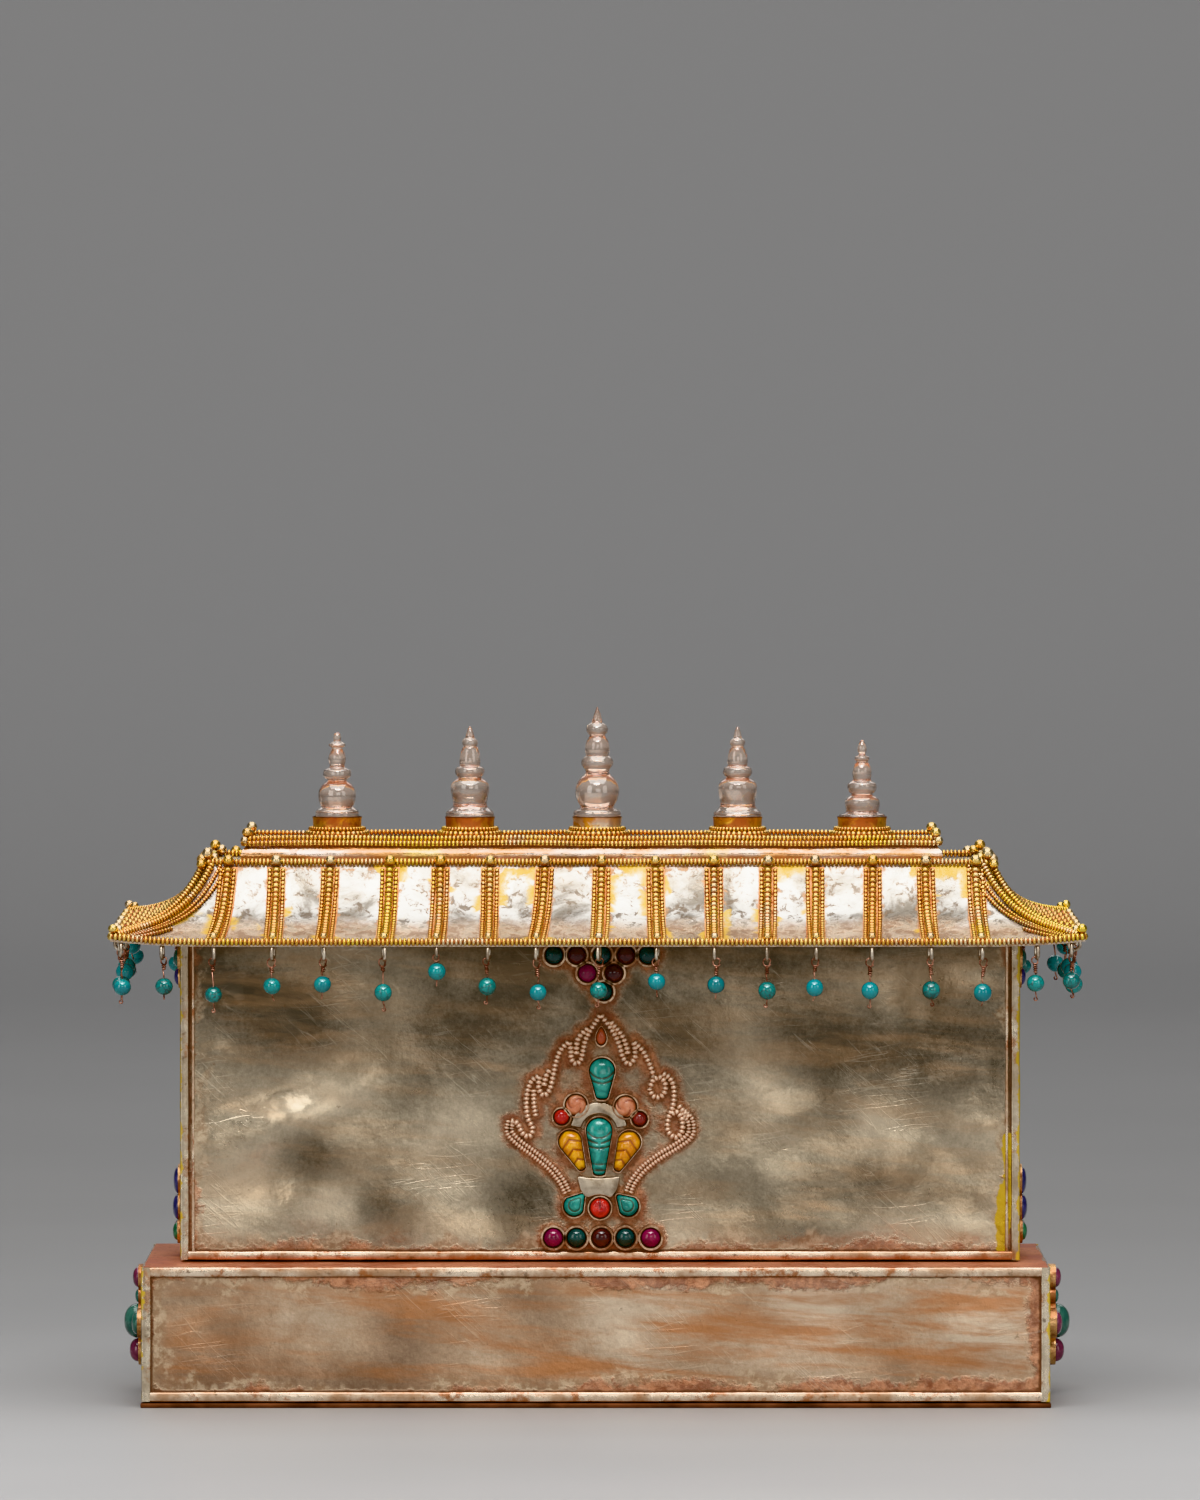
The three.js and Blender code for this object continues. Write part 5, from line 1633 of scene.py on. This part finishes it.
def outline_ring(outline):
    """A circle primitive whose points are brought onto an outline in mm."""
    ring = added(bpy.ops.mesh.primitive_circle_add, vertices=len(outline), radius=1)
    for point, (x, y) in zip(ring.data.vertices, outline):
        point.co = (x * MM, y * MM, 0)
    return ring


def bezel(outline, height=BEZEL_HEIGHT, wall=BEZEL_WALL, outset=0.74 * MM):
    """A cup of thin strip round a stone, flat-floored, its top edge rubbed round.

    "groove" is 1 on its inner floor."""
    half = max(math.hypot(x, y) for x, y in outline) * MM
    ring = outline_ring(outline)
    steps = [(height * 0.8, outset, outset), (height, outset, outset - 0.1 * MM),
             (height, outset - 0.1 * MM, outset - wall), (height * 0.55, outset - wall, outset - wall)]
    edit(ring)
    bpy.ops.mesh.select_mode(type="EDGE")
    bpy.ops.mesh.select_all(action="SELECT")
    grow = (half + outset) / half
    bpy.ops.transform.resize(value=(grow, grow, 1), center_override=(0, 0, 0))
    bpy.ops.mesh.edge_face_add()
    at = 0.0
    for z, before, after in steps:
        grow = (half + after) / (half + before)
        pulled((0, 0, z - at), (grow, grow, 1), (0, 0, 0))
        at = z
    faces_out()
    smoothed(50)
    mark(ring, "groove", [float(0.5 < point.co.z / height < 0.6) for point in ring.data.vertices])
    return ring


def ray_reach(outline, angle):
    """How far an outline reaches from its middle in one direction, in mm."""
    dx, dy = math.cos(angle), math.sin(angle)
    best = 0.0
    for (ax, ay), (bx, by) in zip(outline, outline[1:] + outline[:1]):
        ex, ey = bx - ax, by - ay
        cross = dx * ey - dy * ex
        if abs(cross) < 1e-9:
            continue
        reach = (ax * ey - ay * ex) / cross
        along = (ax * dy - ay * dx) / cross
        if reach > 0 and -1e-6 <= along <= 1 + 1e-6:
            best = max(best, reach)
    return best


def set_stone(outline, height, foot, carving=None, segments=48, rings=22, fullness=0.88):
    """A stone ground to its outline: a globe primitive brought to a domed shape and carved.

    "groove" is how deep a point lies in the carving."""
    stone = added(bpy.ops.mesh.primitive_uv_sphere_add, segments=segments, ring_count=rings, radius=1)
    reaches = {}
    grooves = []
    for point in stone.data.vertices:
        x, y, z = point.co
        flat = math.hypot(x, y)
        angle = round(math.atan2(y, x), 4)
        if angle not in reaches:
            reaches[angle] = ray_reach(outline, angle)
        reach = reaches[angle] * flat ** fullness
        px, py = (reach * x / flat, reach * y / flat) if flat > 1e-6 else (0.0, 0.0)
        dome = height * (max(z, 0) ** 0.9) if z > 0 else z * foot * 0.9
        depth = carving(px, py, flat) if carving and z > 0 else 0.0
        grooves.append(depth)
        point.co = (px * MM, py * MM, (foot + dome - 0.42 * depth * min(1, 3.2 * (1 - flat ** 4))) * MM)
    mark(stone, "groove", grooves)
    bpy.ops.object.shade_smooth()
    return stone


def on_wall(piece, x, y, turn, wall, side_turn=0.0):
    """Lays a flat-made piece on a wall: x to the right, y up and z outwards, all in mm."""
    settled(piece, (x * MM, y * MM, 0), (0, 0, turn))
    outward = Vector((math.sin(side_turn), -math.cos(side_turn), 0))
    return settled(piece, outward * wall, (math.pi / 2, 0, side_turn))


def petal_arcs(head, radii):
    """Carving in arcs that hang below the boss at the head of a drop."""
    def depth(x, y, flat):
        away = math.hypot(x * 0.9, y - head)
        groove = max(math.exp(-((away - radius) / 0.3) ** 2) for radius in radii)
        return groove * max(0.0, min(1.0, (head - 0.6 - y) / 0.9))
    return depth


def amber_folds(x, y, flat):
    return max(0.0, math.sin(2.4 * y + 1.5 * abs(x) + 0.6)) ** 3 * 1.2


def petal_rings(x, y, flat):
    return max(0.0, math.sin(12.5 * flat + 0.8)) ** 2 * (1 if flat > 0.22 else 0.3)


def coral_swirl(x, y, flat):
    return max(0.0, math.sin(3 * math.atan2(y, x) + 7 * flat)) ** 2 * 1.15 * min(1.0, flat * 1.6)


def coral_cleft(x, y, flat):
    cleft = max(0.0, 1 - abs(x) / 0.45) * (1 if y > -0.2 else 0)
    return max(cleft, max(0.0, 1 - abs(math.hypot(x, y + 0.4) - 1.3) / 0.3) * 0.6)


def gem_finish(name, deep, light, vein, roughness, clear=0.0, cloud_scale=300, carving_dirt_and_shade=None):
    """Polished stone with clouds and dark specks in it, and dirt and painted shade in its carving."""
    material, tree, shader = new_material(name, roughness=roughness)
    place = on_piece(tree)
    clouds = mottle(place, cloud_scale, 5, 0.6, 0.8)
    fine = mottle(place, cloud_scale * 3.5, 5, 0.65)
    groove = attribute(tree, "groove")
    tint = layer(band(clouds, 0.36, 0.64), deep, light)
    tint = layer(band(fine, 0.58, 0.70), tint, vein, 0.5)
    dulled = None
    # The carving is painted darker: dirt in its hollows together with painted shade.
    if carving_dirt_and_shade:
        dirt = band(scaled(fine, 0.5, groove), 0.62, 1.05)
        tint = layer(dirt, tint, carving_dirt_and_shade, 0.85)
        dulled = scaled(dirt, 0.35, roughness)
    connect(shader, tint, dulled, relief(fine, 0.02 * MM))
    for socket, value in (("Transmission Weight", clear), ("IOR", 1.54), ("Coat Weight", 0.5),
                          ("Coat Roughness", 0.13)):
        shader.inputs[socket].default_value = value
    return material


# (name, deep, light, specks, roughness, clearness, fineness of its clouds, dirt and painted shade in its
# carving)
GEMS = [
    ("carved_turquoise", (0.01, 0.20, 0.17), (0.05, 0.40, 0.33), (0.03, 0.09, 0.06), 0.22,
     0, 300, (0.10, 0.085, 0.05)),
    ("carved_amber", (0.66, 0.24, 0.005), (0.92, 0.52, 0.02), (0.35, 0.10, 0.01), 0.24,
     0, 160, (0.36, 0.09, 0.012)),
    ("salmon_coral", (0.62, 0.21, 0.10), (0.80, 0.40, 0.24), (0.30, 0.08, 0.04), 0.34,
     0, 220, (0.32, 0.08, 0.04)),
    ("red_coral", (0.42, 0.012, 0.010), (0.66, 0.045, 0.03), (0.20, 0.006, 0.006), 0.16,
     0, 300, (0.14, 0.01, 0.01)),
    ("garnet", (0.055, 0.008, 0.008), (0.13, 0.02, 0.016), (0.02, 0.004, 0.004), 0.15, 0.25),
    ("red_garnet", (0.17, 0.012, 0.010), (0.30, 0.03, 0.02), (0.06, 0.004, 0.004), 0.15, 0.15),
    ("carnelian", (0.32, 0.045, 0.018), (0.50, 0.11, 0.045), (0.13, 0.02, 0.01), 0.15),
    ("ruby_glass", (0.20, 0.006, 0.050), (0.36, 0.018, 0.095), (0.09, 0.004, 0.025), 0.15, 0.25),
    ("green_glass", (0.004, 0.045, 0.042), (0.010, 0.085, 0.075), (0.002, 0.02, 0.02), 0.15, 0.25),
]
gem_finishes = {row[0]: gem_finish(*row) for row in GEMS}


def setting_finish(name, dark, light, dirt, dirt_low, speck_scale, gloss, dull, pillow=None):
    """Worn metal of a bezel: clouds, specks of burned solder, and a painted shadow along its inner floor,
    in the gap round the stone.
    """
    material, tree, shader = new_material(name, metallic=1.0)
    place = on_piece(tree)
    clouds = mottle(place, 230, 5, 0.62)
    specks = mottle(place, speck_scale, 5, 0.65)
    tint = layer(band(clouds, 0.38, 0.60), dark, light)
    tint = layer(band(specks, dirt_low, 0.66), tint, dirt, 0.7)
    # The inner floor, in the gap round the stone, is painted near black: a painted shadow.
    tint = layer(attribute(tree, "groove"), tint, (0.05, 0.02, 0.012))
    rough = band(specks, 0.3, 0.7, gloss, dull)
    connect(shader, tint, rough, relief(specks, 0.06 * MM, relief(clouds, pillow) if pillow else None))
    return material


setting_silver = setting_finish("setting_silver", (0.36, 0.20, 0.125), (0.72, 0.54, 0.39),
                                (0.30, 0.12, 0.06), 0.48, 900, 0.28, 0.5, 0.15 * MM)


def mounted(stone, cup, x, z, tilt, name, gem, node):
    """Lays a stone and its bezel on the front and hands the stone over; gives the bezel back."""
    on_wall(stone, x, z, tilt, -WALL_Y)
    stone.name = name
    stone.data.materials.append(gem_finishes[gem])
    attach(stone, "root")
    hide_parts(node)
    return on_wall(cup, x, z, tilt, -WALL_Y)


# (name, x, z, width, height, tilt, gem, carving)
DROPS = [
    ("turquoise_upper", 0.5, 81.2, 6.8, 10.6, 0, "carved_turquoise", petal_arcs(3.1, (3.0, 4.2))),
    ("turquoise_centre", -0.2, 64.2, 7.0, 14.8, 0, "carved_turquoise",
     petal_arcs(5.2, (3.0, 4.3, 5.6, 9.6, 11.2))),
    ("amber_left", -6.5, 63.2, 6.2, 11.0, 0.42, "carved_amber", amber_folds),
    ("amber_right", 6.3, 63.0, 6.2, 11.0, -0.42, "carved_amber", amber_folds),
    ("green_left", -6.1, 49.8, 5.6, 6.8, 2.45, "carved_turquoise", petal_rings),
    ("green_right", 6.6, 49.7, 5.6, 6.8, -2.35, "carved_turquoise", petal_rings),
]
# (name, x, z, radius, gem, carving, height)
ROUNDS = [
    ("coral_left", -6.0, 74.6, 2.6, "salmon_coral", coral_swirl, 1.5),
    ("coral_right", 6.4, 74.2, 2.6, "salmon_coral", coral_swirl, 1.5),
    ("red_ball_left", -9.6, 71.6, 1.9, "red_coral", None, 1.9),
    ("red_ball_right", 9.9, 71.1, 1.8, "red_garnet", None, 1.8),
    ("coral_round", 0.0, 48.8, 2.5, "red_coral", coral_cleft, 1.7),
]
bezels = []
for name, x, z, width, height, tilt, gem, carving in DROPS:
    foot = 0.12 if height < 8 else 0.22 if gem == "carved_amber" else 0.35
    outline = drop_outline(width - BEZEL_MARGIN, height - BEZEL_MARGIN, foot)
    stone = set_stone(outline, height=2.3, foot=0.75, carving=carving, segments=80, rings=44)
    bezels.append(mounted(stone, bezel(outline), x, z, tilt, f"stone_{name}", gem, name))
for name, x, z, radius, gem, carving, height in ROUNDS:
    outline = round_outline(radius)
    stone = set_stone(outline, height, foot=0.75, carving=carving, segments=40, rings=18)
    bezels.append(mounted(stone, bezel(outline), x, z, 0, f"stone_{name}", gem, name))
crest_outline = pear_outline(2.7, 4.2)
crest = set_stone(crest_outline, height=1.3, foot=0.7, segments=36, rings=16)
crest_cup = bezel(crest_outline, height=1.3 * MM)
bezels.append(mounted(crest, crest_cup, 0.3, 91.8, 0, "stone_crest", "carnelian", "crest_stone"))


def cut_plate(outline, height, rounding):
    """A plate of silver sawn to an outline, its upper edge rounded."""
    plate = outline_ring(outline)
    edit(plate)
    bpy.ops.mesh.select_all(action="SELECT")
    bpy.ops.mesh.edge_face_add()
    bpy.ops.mesh.extrude_region_move(TRANSFORM_OT_translate={"value": (0, 0, height)})
    faces_out()
    rounded(plate, rounding, 3, 50)
    return plate


CRESCENT_AT = (-0.3, 68.1)
CUP_AT = (-0.1, 53.9)
crescent_outline = [(7.2 * math.cos(a), 7.2 * math.sin(a)) for a in np.linspace(0.16, math.pi - 0.16, 36)]
crescent_outline += [(4.5 * math.cos(a), 4.5 * math.sin(a) - 0.2)
                     for a in np.linspace(math.pi - 0.2, 0.2, 24)]
cup_outline = [(-5.4, 2.9), (-3.0, 2.5), (0, 2.35), (2.8, 2.5), (5.0, 2.9), (5.1, 2.2), (4.4, -0.6),
               (3.2, -2.2), (2.6, -2.6), (1.2, -2.0), (0, -1.8), (-1.4, -2.0), (-2.9, -2.6), (-3.9, -2.0),
               (-4.9, -0.4), (-5.5, 2.2)]
crescent = cut_plate(crescent_outline, height=1.35 * MM, rounding=0.4 * MM)
cup_plate = cut_plate(cup_outline, height=1.9 * MM, rounding=0.3 * MM)
plates = [on_wall(crescent, *CRESCENT_AT, 0, -WALL_Y), on_wall(cup_plate, *CUP_AT, 0, -WALL_Y)]

bright_plate, tree, shader = new_material("medallion_plate", metallic=1.0)
place = on_piece(tree)
clouds = mottle(place, 160, 5, 0.62)
specks = mottle(place, 900, 5, 0.65)
tint = layer(band(clouds, 0.38, 0.60), (0.32, 0.25, 0.18), (0.60, 0.52, 0.41))
tint = layer(band(specks, 0.60, 0.72), tint, (0.30, 0.16, 0.08), 0.5)
connect(shader, tint, band(clouds, 0.3, 0.7, 0.26, 0.42), relief(clouds, 0.12 * MM))
medallion_plates = joined("medallion_plates", plates)
medallion_plates.data.materials.append(bright_plate)
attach(medallion_plates, "root")
medallion_bezels = joined("medallion_bezels", bezels)
medallion_bezels.data.materials.append(setting_silver)
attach(medallion_bezels, "root")
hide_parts("medallion_settings")

# Each loop of wire runs through its (x, z) points, in mm.
LEFT_LOOPS = [
    [(0.1, 97.2), (-1.6, 94.6), (-3.4, 91.4), (-4.2, 88.2), (-4.7, 86.0), (-5.9, 84.9), (-7.1, 86.1),
     (-7.3, 88.4), (-7.7, 90.5)],
    [(-7.7, 90.5), (-9.7, 88.6), (-11.0, 85.4), (-11.8, 81.4), (-12.6, 78.4), (-14.1, 77.0),
     (-15.3, 78.8), (-15.2, 81.9)],
    [(-15.2, 81.9), (-17.3, 80.4), (-18.4, 76.4), (-18.1, 71.6), (-16.8, 68.6), (-17.7, 66.7),
     (-19.4, 67.5), (-20.7, 70.0), (-22.5, 70.6)],
    [(-2.9, 94.0), (-5.3, 91.6), (-5.9, 88.9), (-5.8, 87.1)],
    [(-12.6, 83.6), (-13.6, 81.6), (-14.0, 79.2)],
    [(-16.6, 78.6), (-16.5, 74.8), (-16.0, 71.6)],
]
RIGHT_LOOPS = [
    [(0.1, 97.2), (1.9, 95.0), (3.8, 92.0), (4.9, 89.4), (5.7, 86.6), (7.2, 84.8), (8.7, 86.4),
     (8.8, 88.6), (8.4, 90.5)],
    [(8.4, 90.5), (10.7, 88.2), (12.5, 84.6), (13.3, 81.4), (12.5, 78.6), (13.8, 76.5), (15.9, 77.3),
     (16.3, 80.0), (14.9, 81.6), (13.6, 81.0)],
    [(15.6, 82.6), (17.6, 81.2), (18.5, 78.6), (18.3, 74.6), (17.1, 71.2), (17.0, 68.2), (18.8, 66.4),
     (20.4, 67.8), (20.6, 70.8), (19.2, 72.8), (17.8, 72.2)],
    [(2.6, 95.6), (5.4, 92.2), (6.6, 89.4), (7.0, 87.2)],
    [(19.6, 74.6), (21.0, 72.9), (22.4, 71.4)],
]
LEFT_SWEEP = [
    (-22.3, 70.8), (-22.7, 67.8), (-20.4, 65.2), (-16.4, 62.2), (-12.4, 58.8), (-9.6, 55.4), (-7.9, 52.0),
]
RIGHT_SWEEP = [
    (20.6, 73.0), (22.6, 70.6), (22.5, 67.0), (18.9, 64.1), (14.9, 61.7), (10.9, 58.6), (8.1, 55.1),
    (6.9, 52.2),
]
silver_bead = wire_bead("silver_bead", 0.9 * MM, 1.08 * MM, 8, ROUND_BEAD)
ribbed_bead = wire_bead("ribbed_bead", 0.8 * MM, 0.84 * MM, 8, FINE_BEAD)
medallion_strands = []
halo_points = []
for loops, corners in ((LEFT_LOOPS, LEFT_SWEEP), (RIGHT_LOOPS, RIGHT_SWEEP)):
    for loop in loops:
        path = [Vector((x * MM, WALL_Y - 0.6 * MM, z * MM)) for x, z in eased(loop, 5)]
        halo_points += path
        medallion_strands.append(wire_along(silver_bead, path))
    sweep = eased(corners, 8)
    halo_points += [Vector((x * MM, WALL_Y, z * MM)) for x, z in sweep]
    for shift in (-0.62, 0.62):
        path = []
        for (x, z), (next_x, next_z) in zip(sweep, sweep[1:]):
            run = Vector((next_x - x, next_z - z)).normalized()
            path.append(Vector(((x + shift * run.y) * MM, WALL_Y - 0.55 * MM, (z - shift * run.x) * MM)))
        medallion_strands.append(wire_along(ribbed_bead, path))
medallion_wires = closed_up(joined("medallion_wires", medallion_strands))
bpy.data.objects.remove(silver_bead)
bpy.data.objects.remove(ribbed_bead)

wire_silver, tree, shader = new_material("beaded_silver_wire", metallic=1.0)
place = on_piece(tree)
specks = mottle(place, 600, 5, 0.65)
crown_share = attribute(tree, "crown")
# The necks between beads are painted dark copper-brown: dirt in the hollows and painted shade.
edge = band(scaled(specks, 0.4, sums("SUBTRACT", crown_share, 0.4)), 0.0, 0.5)
tint = layer(edge, (0.40, 0.16, 0.085), (0.88, 0.66, 0.50))
connect(shader, tint, scaled(edge, -0.16, 0.56), metallic=scaled(edge, 0.3, 0.5))
medallion_wires.data.materials.append(wire_silver)
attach(medallion_wires, "root")
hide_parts("medallion_wire")


# ---- Rows of round stones under the eave and at the foot ----
# Ruby-red, garnet and dark green glass cabochons in touching round bezels: five in a
# row at the foot of the medallion, and eight in a cluster half hidden by the eave.

FOOT_ROW = [(x, 41.3) for x in (-11.7, -5.9, 0.35, 6.4, 12.7)]
FOOT_KINDS = ["ruby_glass", "green_glass", "garnet", "green_glass", "ruby_glass"]
EAVE_ROW = [(-11.5, 112.1), (-5.8, 112.1), (0.5, 112.1), (6.5, 112.1), (12.0, 112.1), (-3.2, 107.6),
            (3.5, 107.6), (0.9, 103.0)]
EAVE_KINDS = ["green_glass", "garnet", "green_glass", "garnet", "green_glass", "ruby_glass", "garnet",
              "green_glass"]
for label, row, kinds, radius, settings in (("foot", FOOT_ROW, FOOT_KINDS, 2.35, "foot_settings"),
                                            ("eave", EAVE_ROW, EAVE_KINDS, 2.2, "eave_settings")):
    cups = []
    for number, ((x, z), kind) in enumerate(zip(row, kinds), 1):
        outline = round_outline(radius)
        stone = set_stone(outline, height=1.9, foot=0.7, segments=32, rings=16, fullness=1.0)
        cup = bezel(outline, height=1.6 * MM, wall=0.6 * MM, outset=0.9 * MM)
        name = f"{label}_cabochon_{number}"
        cups.append(mounted(stone, cup, x, z, 0, name, kind, f"{label}_stone_{number}"))
    row_bezels = joined(f"{label}_row_bezels", cups)
    row_bezels.data.materials.append(setting_silver)
    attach(row_bezels, "root")
    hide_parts(settings)

# Half the medallion's width at each height, in mm
MEDALLION_HEIGHTS = [37, 39, 44, 46, 52, 56, 60, 65, 68, 74, 80, 86, 92, 98]
MEDALLION_HALVES = [0, 14, 14, 9, 10, 11, 15, 21, 22, 19, 15, 11, 5, 0]


def spread_from(piece, centres, reach):
    """How near each point of the front is to any of the centres, 1 at one and 0 beyond its reach,
    and at least half inside the medallion."""
    points = points_of(piece)
    nearness = np.zeros(len(points))
    for x, z, radius in centres:
        gap = np.hypot(points[:, 0] - x, points[:, 2] - z) - radius
        nearness = np.maximum(nearness, np.clip(1 - gap / reach, 0, 1))
    within = np.interp(points[:, 2] / MM, MEDALLION_HEIGHTS, MEDALLION_HALVES) - np.abs(points[:, 0]) / MM
    nearness = np.maximum(nearness, 0.50 * np.clip(within / 2, 0, 1))
    return np.where(points[:, 1] < WALL_Y + 3 * MM, nearness, 0)


# The solder burned the sheet round the wires and settings.
settings = [(drop[1], drop[2], 3.4) for drop in DROPS] + [entry[1:4] for entry in ROUNDS]
settings += [(x, z, 2.2) for x, z in FOOT_ROW + EAVE_ROW]
burned = [(point.x, point.z, 0.8 * MM) for point in halo_points]
burned += [(x * MM, z * MM, (radius + 0.6) * MM) for x, z, radius in settings]
mark(body_walls, "halo", spread_from(body_walls, burned, 3.6 * MM))


# ---- Stones on the ends of the box ----
# Both ends carry the same clusters: four stones under the eave, a pyramid of five at
# the foot of the body, and a rosette round a tall gilt-set stone on the plinth.

# (along the end, height of its middle, radius, how far it stands out) in mm
END_EAVE = [(-5.4, 110.5, 2.2, 1.2), (0, 110.5, 2.2, 1.2), (5.4, 110.5, 2.2, 1.2), (0, 105.6, 2.2, 1.2)]
END_BODY = [(-5.5, 41.6, 2.3, 1.3), (0, 41.6, 2.3, 1.3), (5.5, 41.6, 2.3, 1.3), (0, 47.4, 3.2, 1.5),
            (0, 54.1, 3.4, 1.3)]
END_PLINTH = [(0, 18.6, 4.4, 3.8), (0, 11.2, 3, 2.4), (0, 24.9, 1.7, 1), (0, 29.6, 2.6, 1.6),
              (-8.4, 18.6, 3, 1.6), (8.4, 18.6, 3, 1.6)]
lapis = gem_finish("lapis", (0.035, 0.035, 0.14), (0.08, 0.075, 0.25), (0.02, 0.02, 0.07), 0.16)
plum_stone = gem_finish("plum_stone", (0.15, 0.03, 0.065), (0.26, 0.065, 0.12), (0.07, 0.015, 0.03), 0.18)
sea_green = gem_finish("sea_green", (0.03, 0.11, 0.085), (0.07, 0.19, 0.145), (0.015, 0.05, 0.04), 0.15)
moss_green = gem_finish("moss_green", (0.02, 0.12, 0.05), (0.06, 0.24, 0.11), (0.01, 0.05, 0.02), 0.16)
END_FINISHES = {"eave": [sea_green, lapis, sea_green, lapis],
                "body": [moss_green, plum_stone, moss_green, lapis, lapis],
                "plinth": [sea_green, plum_stone, sea_green, plum_stone, plum_stone, sea_green]}
CUP_HEIGHTS = {"eave": 1.7 * MM, "body": 1.8 * MM, "plinth": 2.7 * MM}

gilt_setting = setting_finish("gilt_setting", (0.36, 0.16, 0.075), (0.74, 0.45, 0.22), (0.28, 0.10, 0.05),
                              0.50, 800, 0.24, 0.45)
above_sheet = SOLDER_THICK - STRIP_PROUD
body_face = body_high.x + above_sheet
for side, label in ((-1, "left"), (1, "right")):
    turn = side * math.pi / 2
    plinth_face = (plinth_high.x if side > 0 else -plinth_low.x) + above_sheet
    for part, stones, face in (("eave", END_EAVE, body_face), ("body", END_BODY, body_face),
                               ("plinth", END_PLINTH, plinth_face)):
        cup_height = CUP_HEIGHTS[part] + (0.6 * MM if side > 0 and part == "plinth" else 0)
        cups, gems = [], []
        for (x, z, radius, height), finish in zip(stones, END_FINISHES[part]):
            outline = round_outline(radius)
            gem = set_stone(outline, height, foot=cup_height / MM * 0.95, segments=32, rings=16)
            on_wall(gem, x, z, 0, face, turn)
            gem.data.materials.append(finish)
            gems.append(gem)
            cup = bezel(outline, cup_height, wall=0.5 * MM, outset=0.8 * MM)
            cups.append(on_wall(cup, x, z, 0, face, turn))
        cluster_gems = joined(f"{label}_{part}_gems", gems)
        cluster_cups = joined(f"{label}_{part}_bezels", cups)
        cluster_cups.data.materials.append(gilt_setting)
        for piece in (cluster_gems, cluster_cups):
            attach(piece, "root")
        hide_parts(f"{label}_{part}_cluster")
for part in (thick_bead, thin_bead, rib_bead, rib_edge_bead, eave_bead, deck_bead, crown_bead, grain):
    bpy.data.objects.remove(part)
